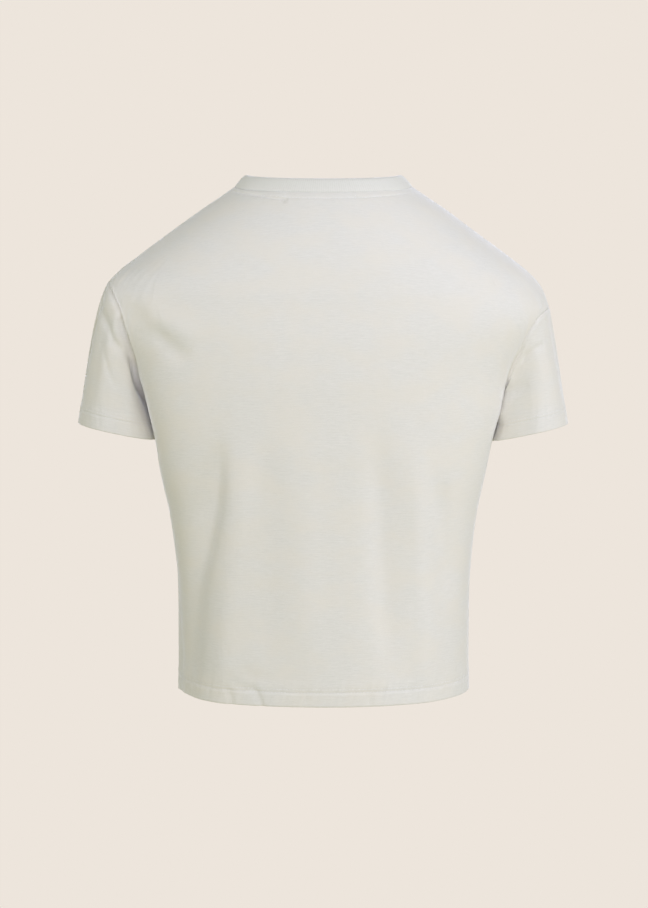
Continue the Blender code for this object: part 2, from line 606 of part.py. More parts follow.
# panels
for face in ("front", "back"):
    grid, out = grids[face].copy(), outward[face].copy()
    toward = 1.0 if face == "back" else -1.0
    rows, cols, _ = grid.shape
    shift = np.zeros_like(grid)
    # side seams and shoulder seams: square to Y, so both panels share them
    for j in (LEFT_EDGE, RIGHT_EDGE):
        for i, run in enumerate(seam_runs(grid[:BODY_ROWS + 1, j])):
            flat_run = unit(run * np.array([1, 0, 1]))
            side_out = np.cross(flat_run, [0, 1, 0])
            out[i, j] = side_out * (1 if np.dot(side_out, [np.sign(grid[i, j][0]), 0, 0]) > 0 else -1)
            shift[i, j] += [0, toward * GAP, 0]
    shoulder = [j for j in range(cols) if abs(j - HALF_COLS) >= NECK_COLS]
    for j in shoulder:
        out[TOP, j] = ridge_outward(grid, j)
        shift[TOP, j] += [0, toward * GAP, 0]
    # armholes
    for side in ("left", "right"):
        j = LEFT_EDGE if side == "left" else RIGHT_EDGE
        for i in range(BODY_ROWS, TOP + 1):
            n = TOP - i if face == "back" else 2 * ARM_ROWS - (TOP - i)
            n %= 2 * ARM_ROWS
            out[i, j] = loop_out[side][n]
            shift[i, j] -= loop_across[side][n] * GAP
    # neckline
    for place, j in enumerate(neck_cols):
        n = place if face == "back" else (neck_count - place) % neck_count
        out[TOP, j] = neck_out[n]
        shift[TOP, j] -= neck_across[n] * GAP
    outer = grid + shift
    wall = np.full((rows, cols, 1), WALL)
    wall[:2] = HEM_WALL
    inner = outer - out * wall
    make_object(face + "_panel", outer, inner, wrap=False, flip=(face == "back"))

# sleeves
for side in ("left", "right"):
    loop, starts = loops[side], loop_start[side]
    shift = loop_across[side] * GAP
    outer = sleeve_grid(side, loop, starts, shift)
    out = grid_normals(outer, wrap=True) * (-1.0 if side == "left" else 1.0)
    out[0] = loop_out[side]
    wall = np.full((outer.shape[0], outer.shape[1], 1), WALL)
    wall[-2:] = HEM_WALL
    inner = outer - out * wall
    make_object("sleeve_" + side, outer, inner, wrap=True, flip=(side == "left"))

# neckband: from the seam up and inward to its folded edge
outer = np.zeros((BAND_ROWS, neck_count, 3))
out = np.zeros_like(outer)
for n in range(neck_count):
    run = unit(neck_line[(n + 1) % neck_count] - neck_line[(n - 1) % neck_count])
    for i in range(BAND_ROWS):
        t = i / (BAND_ROWS - 1)
        swell = BAND_SWELL * 4 * t * (1 - t)
        outer[i, n] = (neck_line[n] + neck_across[n] * GAP + band_up[n] * BAND_HEIGHT * t
                       + neck_out[n] * swell)
        out[i, n] = unit(np.cross(band_up[n], run))
        if np.dot(out[i, n], neck_line[n] * np.array([1, 1, 0])) < 0:
            out[i, n] *= -1
    out[0, n] = neck_out[n]
inner = outer - out * BAND_WALL
outer[-1] -= out[-1] * BAND_SOFT
inner[-1] += out[-1] * BAND_SOFT
make_object("neckband", outer, inner, wrap=True, flip=True)
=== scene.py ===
"""Boxy crop top in off-white cotton jersey, worn form: cloth, rib knit, sewing, light and camera."""
import math

import bpy
import numpy as np
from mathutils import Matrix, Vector


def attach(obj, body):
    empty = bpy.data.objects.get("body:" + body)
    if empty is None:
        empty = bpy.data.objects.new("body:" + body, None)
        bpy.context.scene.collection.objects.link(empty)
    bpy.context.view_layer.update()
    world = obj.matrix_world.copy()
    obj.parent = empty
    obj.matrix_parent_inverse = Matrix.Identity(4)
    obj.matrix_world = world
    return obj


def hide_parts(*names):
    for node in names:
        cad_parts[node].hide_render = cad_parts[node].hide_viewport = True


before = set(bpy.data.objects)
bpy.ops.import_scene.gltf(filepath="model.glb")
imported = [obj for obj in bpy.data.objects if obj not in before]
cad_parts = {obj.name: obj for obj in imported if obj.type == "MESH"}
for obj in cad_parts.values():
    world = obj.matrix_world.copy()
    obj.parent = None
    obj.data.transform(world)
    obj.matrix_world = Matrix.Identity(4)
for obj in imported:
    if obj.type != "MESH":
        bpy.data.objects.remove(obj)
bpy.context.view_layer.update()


# ================================================================ front and back panel
# Two pieces of light single jersey, each cut in one from shoulder to hem. They are sewn to each
# other at the shoulders and sides, and hang from the shoulders in long soft folds; the lower edge
# is turned up once and held by a twin-needle row.
CLOTH = 0.0011           # thickness the eye sees: jersey with its nap
HEM_CLOTH = 0.0021       # turned hem, two layers
HEM_TURN = 0.0180        # raw edge of the turned hem, inside
SEAM_DIP = 0.0007        # the cloth sinks this far into a seam
SEAM_DIP_HALF = 0.0016
NECK_SEAM = 0.08         # how much of that dip the neck seam has, held flat by its topstitch
ALLOWANCE = (0.0045, 0.0024, 0.0003)      # seam allowance felt through: place, half width, height
HEM_Z = -0.5150
HEM_TILT = 0.0100
HEM_SAG = 0.0002
SIDE_X = 0.150
UNDERARM_Y = -0.014
UNDERARM_Z = {"left": -0.2250, "right": -0.2310}
SIDE_SEAM_HEM_Y = -0.004
NECK_X, NECK_Z = {"left": 0.0920, "right": 0.0890}, 0.0018
NECK_BACK_Z, NECK_FRONT_Z = -0.0030, -0.0850
EXP_BACK, EXP_FRONT = 2.2, 2.5
SHOULDER_COLS, NECK_COLS = 9, 10
HALF_COLS = SHOULDER_COLS + NECK_COLS
BODY_ROWS, ARM_ROWS = 15, 18
TOP_ROW = BODY_ROWS + ARM_ROWS
CURVE_SAMPLES = 241
LEVEL_POWER = 5
GATHER_POWER = (2.2, 4.0)
EDGE_HELD = 0.7
SHOULDER_POINT_Z = {"left": -0.0920, "right": -0.1190}

# half width on the wearer's left and right, y of the widest line, depth of the back and the front
TORSO_COLUMNS = ("z", "left", "right", "widest_y", "back_y", "front_y")
TORSO = [
    (0.0200, 0.0690, 0.0680, 0.000, 0.040, -0.046),
    (0.0018, 0.0920, 0.0890, 0.000, 0.060, -0.056),
    (-0.0200, 0.1240, 0.1215, 0.000, 0.076, -0.064),
    (-0.0450, 0.1590, 0.1550, 0.000, 0.090, -0.073),
    (-0.0700, 0.1925, 0.1890, 0.000, 0.100, -0.084),
    (-0.0920, 0.2190, 0.2150, 0.000, 0.106, -0.094),
    (-0.1050, 0.2240, 0.2240, 0.004, 0.109, -0.100),
    (-0.1190, 0.2195, 0.2285, 0.010, 0.111, -0.106),
    (-0.1320, 0.2140, 0.2245, 0.016, 0.113, -0.111),
    (-0.1460, 0.2062, 0.2145, 0.021, 0.115, -0.116),
    (-0.1720, 0.1925, 0.1955, 0.028, 0.117, -0.122),
    (-0.1950, 0.1865, 0.1850, 0.030, 0.118, -0.125),
    (-0.2250, 0.1795, 0.1785, 0.031, 0.118, -0.126),
    (-0.2540, 0.1730, 0.1705, 0.030, 0.118, -0.126),
    (-0.2900, 0.1675, 0.1635, 0.026, 0.117, -0.126),
    (-0.3300, 0.1590, 0.1555, 0.020, 0.116, -0.125),
    (-0.3700, 0.1545, 0.1510, 0.014, 0.115, -0.124),
    (-0.4200, 0.1520, 0.1485, 0.008, 0.114, -0.122),
    (-0.4700, 0.1520, 0.1485, 0.003, 0.113, -0.120),
    (-0.5150, 0.1520, 0.1490, 0.000, 0.112, -0.118),
]

# armhole edge by share of the way from underarm (0) to shoulder point (1)
ARMHOLE_COLUMNS = ("share", "back_left", "back_right", "front_left", "front_right")
ARMHOLE = [
    (0.00, -0.014, -0.014, -0.014, -0.014),
    (0.05, -0.003, 0.002, -0.024, -0.024),
    (0.12, 0.010, 0.019, -0.034, -0.035),
    (0.24, 0.029, 0.037, -0.046, -0.047),
    (0.40, 0.044, 0.049, -0.054, -0.055),
    (0.60, 0.051, 0.054, -0.056, -0.056),
    (0.75, 0.052, 0.056, -0.051, -0.053),
    (0.87, 0.044, 0.048, -0.040, -0.043),
    (0.95, 0.027, 0.031, -0.024, -0.027),
    (1.00, 0.000, 0.000, 0.000, 0.000),
]

# soft troughs (-) and ridges (+) along lines through three places (x, z), metres
# face, x0, z0, x1, z1, x2, z2, half width, depth
FOLDS = [
    ("back", 0.104, -0.240, 0.132, -0.380, 0.145, -0.515, 0.015, -0.0085),
    ("back", 0.078, -0.235, 0.092, -0.380, 0.102, -0.515, 0.015, 0.0040),
    ("back", 0.1035, -0.226, 0.1100, -0.318, 0.133, -0.412, 0.0088, -0.0030),
    ("back", 0.058, -0.225, 0.057, -0.360, 0.060, -0.500, 0.014, -0.0028),
    ("back", 0.022, -0.230, 0.022, -0.380, 0.018, -0.500, 0.018, 0.0014),
    ("back", -0.052, -0.215, -0.058, -0.360, -0.066, -0.500, 0.014, -0.0030),
    ("back", -0.090, -0.235, -0.096, -0.380, -0.102, -0.515, 0.014, 0.0030),
    ("back", -0.112, -0.270, -0.117, -0.350, -0.128, -0.420, 0.011, -0.0030),
    ("back", 0.200, -0.100, 0.160, -0.130, 0.118, -0.152, 0.012, 0.0022),
    ("back", 0.178, -0.134, 0.155, -0.156, 0.132, -0.172, 0.010, -0.0024),
    ("back", 0.100, -0.4905, 0.082, -0.4975, 0.062, -0.5010, 0.0042, -0.0013),
    ("back", 0.088, -0.4790, 0.068, -0.4860, 0.050, -0.4900, 0.0048, -0.0008),
    ("front", 0.100, -0.230, 0.112, -0.380, 0.118, -0.515, 0.014, -0.0044),
    ("front", 0.056, -0.200, 0.070, -0.350, 0.072, -0.515, 0.016, 0.0024),
    ("front", -0.020, -0.230, -0.026, -0.360, -0.024, -0.490, 0.013, -0.0018),
    ("front", -0.088, -0.220, -0.104, -0.370, -0.112, -0.515, 0.015, -0.0040),
    ("front", -0.168, -0.150, -0.140, -0.172, -0.112, -0.190, 0.012, -0.0024),
    ("front", 0.166, -0.140, 0.136, -0.168, 0.112, -0.186, 0.011, -0.0026),
]

# finer pulls in the turned hem: place across, slant (metres of x over the hem), half width, depth
# face, x, slant, half width, depth
HEM_PULLS = [
    ("back", 0.064, 0.006, 0.0034, -0.0020),
    ("back", 0.094, 0.002, 0.0036, -0.0017),
    ("back", 0.021, -0.004, 0.0030, -0.0005),
    ("back", -0.046, 0.003, 0.0034, -0.0005),
    ("back", -0.098, -0.003, 0.0030, -0.0006),
    ("front", 0.048, -0.005, 0.0024, -0.0010),
    ("front", -0.015, 0.004, 0.0030, -0.0006),
    ("front", -0.083, 0.004, 0.0026, -0.0009),
]


def smooth_curve(xs, ys):
    """A curve through the table's values that never overshoots them."""
    xs, ys = np.asarray(xs, float), np.asarray(ys, float)
    order = np.argsort(xs)
    xs, ys = xs[order], ys[order]
    step, rise = np.diff(xs), np.diff(ys)
    slope = rise / step
    tangent = np.zeros_like(ys)
    for i in range(1, len(xs) - 1):
        if slope[i - 1] * slope[i] > 0:
            w1, w2 = 2 * step[i] + step[i - 1], step[i] + 2 * step[i - 1]
            tangent[i] = (w1 + w2) / (w1 / slope[i - 1] + w2 / slope[i])
    tangent[0], tangent[-1] = slope[0], slope[-1]

    def at(x):
        x = np.clip(np.asarray(x, float), xs[0], xs[-1])
        k = np.clip(np.searchsorted(xs, x) - 1, 0, len(step) - 1)
        t = (x - xs[k]) / step[k]
        return ((2 * t ** 3 - 3 * t ** 2 + 1) * ys[k] + (t ** 3 - 2 * t ** 2 + t) * step[k] * tangent[k]
                + (3 * t ** 2 - 2 * t ** 3) * ys[k + 1] + (t ** 3 - t ** 2) * step[k] * tangent[k + 1])
    return at


def column(table, names, name):
    return [row[names.index(name)] for row in table]


TORSO_AT = {name: smooth_curve(column(TORSO, TORSO_COLUMNS, "z"), column(TORSO, TORSO_COLUMNS, name))
            for name in TORSO_COLUMNS[1:]}
ARMHOLE_AT = {name: smooth_curve(column(ARMHOLE, ARMHOLE_COLUMNS, "share"),
                                 column(ARMHOLE, ARMHOLE_COLUMNS, name))
              for name in ARMHOLE_COLUMNS[1:]}


def smoothstep(a, b, x):
    t = np.clip((x - a) / (b - a), 0.0, 1.0)
    return t * t * (3 - 2 * t)


def unit(v):
    return v / np.linalg.norm(v, axis=-1, keepdims=True)


def section_point(side, z, turn):
    """Point of the torso at height z; turn 0 is the centre back, 1 the widest line, 2 the centre front."""
    half = float(TORSO_AT[side](z))
    mid = float(TORSO_AT["widest_y"](z))
    angle = turn * np.pi / 2
    if turn <= 1.0:
        power, depth = EXP_BACK, float(TORSO_AT["back_y"](z)) - mid
    else:
        power, depth = EXP_FRONT, mid - float(TORSO_AT["front_y"](z))
    across = abs(np.sin(angle)) ** (2 / power)
    along = np.sign(np.cos(angle)) * abs(np.cos(angle)) ** (2 / power)
    sign = 1.0 if side == "left" else -1.0
    return np.array([sign * half * across, mid + depth * along, z])


def section_outward(side, z, turn):
    """Outward unit normal of the torso at a height and turn."""
    step_z, step_turn = 0.0006, 0.0015
    near_ends = min(max(turn, 2 * step_turn), 2 - 2 * step_turn)
    up = section_point(side, z + step_z, near_ends) - section_point(side, z - step_z, near_ends)
    around = (section_point(side, z, near_ends + step_turn)
              - section_point(side, z, near_ends - step_turn))
    normal = unit(np.cross(up, around))
    if normal @ (section_point(side, z, near_ends) * np.array([1, 1, 0])) < 0:
        normal = -normal
    if turn < 0.004 or turn > 1.996:
        normal[0] = 0.0
    return unit(normal)


def turn_of_y(z, y):
    """The turn at which the section at height z has this y."""
    mid = float(TORSO_AT["widest_y"](z))
    if y >= mid:
        power, depth = EXP_BACK, float(TORSO_AT["back_y"](z)) - mid
        return float(np.arccos(min((y - mid) / depth, 1.0) ** (power / 2)) / (np.pi / 2))
    power, depth = EXP_FRONT, mid - float(TORSO_AT["front_y"](z))
    return 2.0 - float(np.arccos(min((mid - y) / depth, 1.0) ** (power / 2)) / (np.pi / 2))


def turn_of_x(face, side, z, x):
    """The turn at which the section at height z has this half width, on the given face."""
    share = min(x / float(TORSO_AT[side](z)), 1.0)
    power = EXP_BACK if face == "back" else EXP_FRONT
    turn = float(np.arcsin(share ** (power / 2)) / (np.pi / 2))
    return turn if face == "back" else 2.0 - turn


def edge_turn(face, side, z):
    """Turn of the panel's side edge at height z: the side seam, then the armhole."""
    if z <= UNDERARM_Z[side]:
        share = (z - HEM_Z) / (UNDERARM_Z[side] - HEM_Z)
        return turn_of_y(z, SIDE_SEAM_HEM_Y + share * (UNDERARM_Y - SIDE_SEAM_HEM_Y))
    top = SHOULDER_POINT_Z[side]
    if z >= top:
        return 1.0
    share = (z - UNDERARM_Z[side]) / (top - UNDERARM_Z[side])
    onto_ridge = float(TORSO_AT["widest_y"](top)) * smoothstep(0.75, 1.0, share)
    return turn_of_y(z, float(ARMHOLE_AT[face + "_" + side](share)) + onto_ridge)


def neckline_z(face, side, x):
    round_off = np.sqrt(max(0.0, 1 - (x / NECK_X[side]) ** 2))
    low = NECK_BACK_Z if face == "back" else NECK_FRONT_Z
    return NECK_Z + (low - NECK_Z) * round_off


def shoulder_z(side, share):
    """Height on the shoulder line at a share of the way from side neck to shoulder point."""
    heights = np.linspace(NECK_Z, SHOULDER_POINT_Z[side], CURVE_SAMPLES)
    steps = np.hypot(np.diff(heights), np.diff(TORSO_AT[side](heights)))
    run = np.concatenate([[0.0], np.cumsum(steps)])
    return float(np.interp(share * run[-1], run, heights))


def neckline_steps(face, side):
    """Half widths of the neckline's columns, spaced evenly along its curve."""
    angles = np.linspace(0, np.pi / 2, CURVE_SAMPLES)
    points = []
    for x in NECK_X[side] * np.sin(angles):
        z = neckline_z(face, side, x)
        points.append(section_point(side, z, turn_of_x(face, side, z, x)))
    points[-1] = section_point(side, NECK_Z, 1.0)
    run = np.concatenate([[0.0], np.cumsum(np.linalg.norm(np.diff(points, axis=0), axis=1))])
    return NECK_X[side] * np.sin(np.interp(np.linspace(0, run[-1], NECK_COLS + 1), run, angles))


NECK_STEPS = {(face, side): neckline_steps(face, side)
              for face in ("back", "front") for side in ("left", "right")}


def edge_height(side, row):
    """Height of a panel's side edge at a row: even up the side seam, then closer up the armhole."""
    hem = HEM_Z - HEM_TILT * (SIDE_X if side == "left" else -SIDE_X)
    if row <= BODY_ROWS:
        return hem + row / BODY_ROWS * (UNDERARM_Z[side] - hem)
    share = (row - BODY_ROWS) / ARM_ROWS
    eased = 1 - (1 - share) ** 1.5
    eased = eased * (0.35 + 2.2 * share) if share < 0.295 else eased
    return UNDERARM_Z[side] + eased * (SHOULDER_POINT_Z[side] - UNDERARM_Z[side])


def panel_place(face, side, k, row):
    """Height and turn of the coarse grid's point in column k (0 centre, HALF_COLS edge) and a row."""
    if k == HALF_COLS:
        z = edge_height(side, row)
        return z, edge_turn(face, side, z)
    if k < NECK_COLS:
        x = NECK_STEPS[face, side][k]
        z_top = neckline_z(face, side, x)
        turn_top = turn_of_x(face, side, z_top, x)
    else:
        z_top, turn_top = shoulder_z(side, (k - NECK_COLS) / SHOULDER_COLS), 1.0
    own = (k / HALF_COLS) ** 2
    mean = 0.5 * (edge_height("left", row) + edge_height("right", row))
    mean_tip = 0.5 * (SHOULDER_POINT_Z["left"] + SHOULDER_POINT_Z["right"])
    level = mean + (edge_height(side, row) - mean) * own
    level -= HEM_SAG * (1 - own) * max(0.0, 1 - row / BODY_ROWS)
    tip = mean_tip + (SHOULDER_POINT_Z[side] - mean_tip) * own
    climb = (level - HEM_Z) / (tip - HEM_Z)
    z = level + (z_top - tip) * climb ** LEVEL_POWER
    share = max(0, row - BODY_ROWS) / ARM_ROWS
    held = UNDERARM_Z[side] + EDGE_HELD * (SHOULDER_POINT_Z[side] - UNDERARM_Z[side])
    edge = edge_turn(face, side, min(edge_height(side, row), held))
    start = 0.0 if face == "back" else 2.0
    low = start + (edge - start) * k / HALF_COLS
    rise = share ** (GATHER_POWER[0] + GATHER_POWER[1] * max(0, k - NECK_COLS) / SHOULDER_COLS)
    return z, (1 - rise) * low + rise * turn_top


def refine(values, knots, at, corners=()):
    """Values at new places along the first axis, on smooth curves through the given ones. A corner
    is (index, weight): there the curve may turn sharply, fully at weight 1."""
    h = np.diff(knots).reshape((-1,) + (1,) * (values.ndim - 1))
    rise = np.diff(values, axis=0) / h
    slope = np.empty_like(values)
    slope[1:-1] = (rise[:-1] * h[1:] + rise[1:] * h[:-1]) / (h[:-1] + h[1:])
    slope[0], slope[-1] = rise[0], rise[-1]
    before, after = slope.copy(), slope.copy()
    for index, weight in corners:
        before[index] += weight * (rise[index - 1] - slope[index])
        after[index] += weight * (rise[index] - slope[index])
    k = np.clip(np.searchsorted(knots, at, side="right") - 1, 0, len(knots) - 2)
    t = ((at - knots[k]) / np.diff(knots)[k]).reshape((-1,) + (1,) * (values.ndim - 1))
    return ((2 * t ** 3 - 3 * t ** 2 + 1) * values[k] + (t ** 3 - 2 * t ** 2 + t) * h[k] * after[k]
            + (3 * t ** 2 - 2 * t ** 3) * values[k + 1] + (t ** 3 - t ** 2) * h[k] * before[k + 1])


# fine columns to a coarse one, also in the last coarse ones at the side edges
COLUMN_PARTS, EDGE_PARTS, EDGE_COLS = 7, 14, 2
COLUMN_PLACES = np.concatenate([
    np.linspace(0, EDGE_COLS, EDGE_COLS * EDGE_PARTS + 1)[:-1],
    np.linspace(EDGE_COLS, 2 * HALF_COLS - EDGE_COLS, 2 * (HALF_COLS - EDGE_COLS) * COLUMN_PARTS + 1)[:-1],
    np.linspace(2 * HALF_COLS - EDGE_COLS, 2 * HALF_COLS, EDGE_COLS * EDGE_PARTS + 1)])
# fine rows to a coarse one: in the hem, up the body, up the armhole, under the neckline
HEM_PARTS, BODY_PARTS, ARM_PARTS, NECK_PARTS, NECK_ROWS = 16, 4, 4, 11, 3
ROW_PLACES = np.concatenate([
    np.linspace(0, 1, HEM_PARTS + 1)[:-1],
    np.linspace(1, BODY_ROWS, (BODY_ROWS - 1) * BODY_PARTS + 1)[:-1],
    np.linspace(BODY_ROWS, TOP_ROW - NECK_ROWS, (ARM_ROWS - NECK_ROWS) * ARM_PARTS + 1)[:-1],
    np.linspace(TOP_ROW - NECK_ROWS, TOP_ROW, NECK_ROWS * NECK_PARTS + 1)])
ROW_KNOTS = np.array([0.5 * (edge_height("left", i) + edge_height("right", i))
                      for i in range(TOP_ROW + 1)])
UNDERARM_ROW = HEM_PARTS + (BODY_ROWS - 1) * BODY_PARTS         # fine row at the underarm
# the fine rows, counted from the underarm, that are coarse rows
COARSE_ARM = np.concatenate([np.arange(ARM_ROWS - NECK_ROWS) * ARM_PARTS,
                             (ARM_ROWS - NECK_ROWS) * ARM_PARTS + np.arange(NECK_ROWS + 1) * NECK_PARTS])
NECK_EDGE = (HALF_COLS - NECK_COLS, HALF_COLS + NECK_COLS)      # coarse columns of the side necks
NECK_FINE = tuple(int(np.argmin(abs(COLUMN_PLACES - j))) for j in NECK_EDGE)


def fine_panel(face):
    """Outer points and outward vectors of a panel as fine grids, wearer's right edge to left."""
    rows, cols = TOP_ROW + 1, 2 * HALF_COLS + 1
    grid, out = np.zeros((rows, cols, 3)), np.zeros((rows, cols, 3))
    for i in range(rows):
        for j in range(cols):
            side = "left" if j >= HALF_COLS else "right"
            z, turn = panel_place(face, side, abs(j - HALF_COLS), i)
            grid[i, j] = section_point(side, z, turn)
            out[i, j] = section_outward(side, z, turn)
    col_at = COLUMN_PLACES
    row_at = np.interp(ROW_PLACES, np.arange(rows), ROW_KNOTS)
    at_top = np.zeros((rows, 1))
    at_top[-1] = 1.0
    from_edge = np.minimum(col_at, cols - 1 - col_at)
    at_edge = np.clip(1 - from_edge, 0, 1)[:, None]
    made = []
    for field in (grid, out):
        wide = refine(field.transpose(1, 0, 2), np.arange(cols), col_at,
                      [(j, at_top) for j in NECK_EDGE])
        made.append(refine(wide.transpose(1, 0, 2), ROW_KNOTS, row_at, [(BODY_ROWS, at_edge)]))
    return made[0], unit(made[1])


def lengths(grid, axis):
    """Distance run along the grid's lines, from their start."""
    steps = np.linalg.norm(np.diff(grid, axis=axis), axis=-1)
    run = np.cumsum(steps, axis=axis)
    return np.concatenate([np.zeros_like(np.take(run, [0], axis=axis)), run], axis=axis)


FOLD_FADE = 0.022, 0.024         # folds die out this far from the side edges and the upper edge
HEM_FLATTENS = 0.45      # the two layers of the hem take this much off the folds that reach it


def fold_field(table, face, x, z):
    """Height of the folds of one face at places x, z."""
    total = np.zeros_like(x)
    for name, x0, z0, x1, z1, x2, z2, half, depth in table:
        if name != face:
            continue
        best, where = np.full_like(x, 1e9), np.zeros_like(x)
        for part, (ax, az, bx, bz) in enumerate(((x0, z0, x1, z1), (x1, z1, x2, z2))):
            dx, dz = bx - ax, bz - az
            t = np.clip(((x - ax) * dx + (z - az) * dz) / (dx * dx + dz * dz), 0, 1)
            gap = np.hypot(x - ax - t * dx, z - az - t * dz)
            where = np.where(gap < best, (part + t) / 2, where)
            best = np.minimum(gap, best)
        ends = smoothstep(0.0, 0.30, where)
        if z2 > HEM_Z + 0.001:
            ends = ends * (1 - smoothstep(0.70, 1.0, where))
        ends = ends * (1 - HEM_FLATTENS * (1 - smoothstep(0.006, 0.040, z - HEM_Z)))
        total += depth * np.exp(-(best / half) ** 2) * ends
    return total


def ripple(along, seed, waves=((0.0095, 1.0), (0.0061, 0.6), (0.0163, 0.9))):
    """Uneven little waves along a sewn line; (wave length, share) for each."""
    rng = np.random.default_rng(seed)
    total = np.zeros_like(along)
    for length, share in waves:
        drift = 0.8 * np.sin(2 * np.pi * along / (length * 5.3) + rng.uniform(0, 6.28))
        total += share * np.sin(2 * np.pi * along / length + drift + rng.uniform(0, 6.28))
    return total / sum(share for _, share in waves)


HEM_ROWS = (0.0140, 0.0172)      # the two needle rows, above the folded edge
NEEDLE_DIPS, NEEDLE_HALF = (0.00075, 0.00034), 0.0010
PUFF = (0.0194, 0.0016, 0.00036)          # cloth puffed up above the rows: place, half width, height
PUCKER = 0.00026                 # height of the waves that the hem's thread draws up


def hem_relief(seed, across, above, held, drawn=1.0):
    """Surface height near a turned hem: step of the second layer, needle dips, drawn-up waves,
    which die out where `held` falls to 0."""
    layer = 0.0004 * (1 - smoothstep(HEM_TURN - 0.001, HEM_TURN + 0.0015, above))
    place, half, puffed = PUFF
    dips = puffed * np.exp(-((above - place) / half) ** 2)
    for row, dip in zip(HEM_ROWS, NEEDLE_DIPS):
        dips = dips - dip * np.exp(-((above - row) / NEEDLE_HALF) ** 2)
    near = np.exp(-((above - HEM_ROWS[0]) / 0.011) ** 2)
    return layer + drawn * dips + PUCKER * near * held * ripple(across + 0.25 * above, seed)


def cloth_wall(above):
    """Thickness of the cloth at distances above its folded edge: two layers in the hem."""
    return CLOTH + (HEM_CLOTH - CLOTH) * (1 - smoothstep(HEM_TURN - 0.0008, HEM_TURN + 0.0008, above))


def seam_relief(gap):
    """How far the surface sinks into the nearest seam and rises over its allowance."""
    place, half, height = ALLOWANCE
    return height * np.exp(-((gap - place) / half) ** 2) - SEAM_DIP * np.exp(-(gap / SEAM_DIP_HALF) ** 2)


# the armhole edge of a panel stands proud of the sleeve that is set into it
LIP_HEIGHT = {("back", "left"): 0.0090, ("back", "right"): 0.0012,
              ("front", "left"): 0.0014, ("front", "right"): 0.0014}
LIP_CREST, LIP_REACH, LIP_TAPER = 0.0026, 0.0400, 1.6
LIP_RISES, LIP_SINKS = (0.0, 0.14), (0.80, 1.0)          # shares of the way up the armhole


def lip_relief(face, gaps):
    """How far the armhole lips stand out to the back or front, from the distances to each edge."""
    up = np.clip((ROW_PLACES - BODY_ROWS) / ARM_ROWS, 0, 1)[:, None]
    along = smoothstep(*LIP_RISES, up) * (1 - smoothstep(*LIP_SINKS, up))
    return sum(LIP_HEIGHT[face, side] * along * smoothstep(0, LIP_CREST, gap)
               * np.clip(1 - gap / LIP_REACH, 0, 1) ** LIP_TAPER for side, gap in gaps.items())


# back neck: the seam allowance is folded down inside and held by a row of stitches, along which the
# cloth sinks; the row has pulled deeper on the wearer's left, up to a small notch
NECK_ROW = 0.0072
ALLOWANCE_WALL = 0.0013          # layers folded down inside
ALLOWANCE_STEP, ROW_GROOVE, GROOVE_HALF = 0.0008, -0.0019, 0.0011
GROOVE_SHARE = 0.26              # how deep the groove is where it hasn't pulled
PULL_FROM, PULL_FADE = (0.036, 0.044), (0.075, 0.045)    # x where the pull starts, x where it sags
PULL_SAG = 0.0016
GROOVE_ENDS = ((-0.092, -0.070), (0.084, 0.095))         # x over which the groove fades out
# x, distance down, half width, half height, depth
NOTCH = (0.0410, 0.0105, 0.0020, 0.0030, -0.0020)


def allowance_relief(x, below):
    """Height of the back neck's allowance, its groove and notch, at places x and distances below
    the seam."""
    pulled = smoothstep(*PULL_FROM, x)
    ends = smoothstep(*GROOVE_ENDS[0], x) * (1 - smoothstep(*GROOVE_ENDS[1], x))
    row = NECK_ROW + PULL_SAG * pulled * smoothstep(*PULL_FADE, x)
    step = ALLOWANCE_STEP * smoothstep(0.0, 0.002, below)
    step = step * (1 - smoothstep(row - 0.0012, row + 0.0004, below))
    groove = ROW_GROOVE * np.exp(-((below - row) / GROOVE_HALF) ** 2)
    x0, down, wide, high, depth = NOTCH
    notch = depth * np.exp(-((x - x0) / wide) ** 2 - ((below - down) / high) ** 2)
    return (step + groove) * (GROOVE_SHARE + (1 - GROOVE_SHARE) * pulled) * ends + notch


def placed(name, data):
    """An object of this mesh, lamp or camera, in the scene."""
    thing = bpy.data.objects.new(name, data)
    bpy.context.scene.collection.objects.link(thing)
    return thing


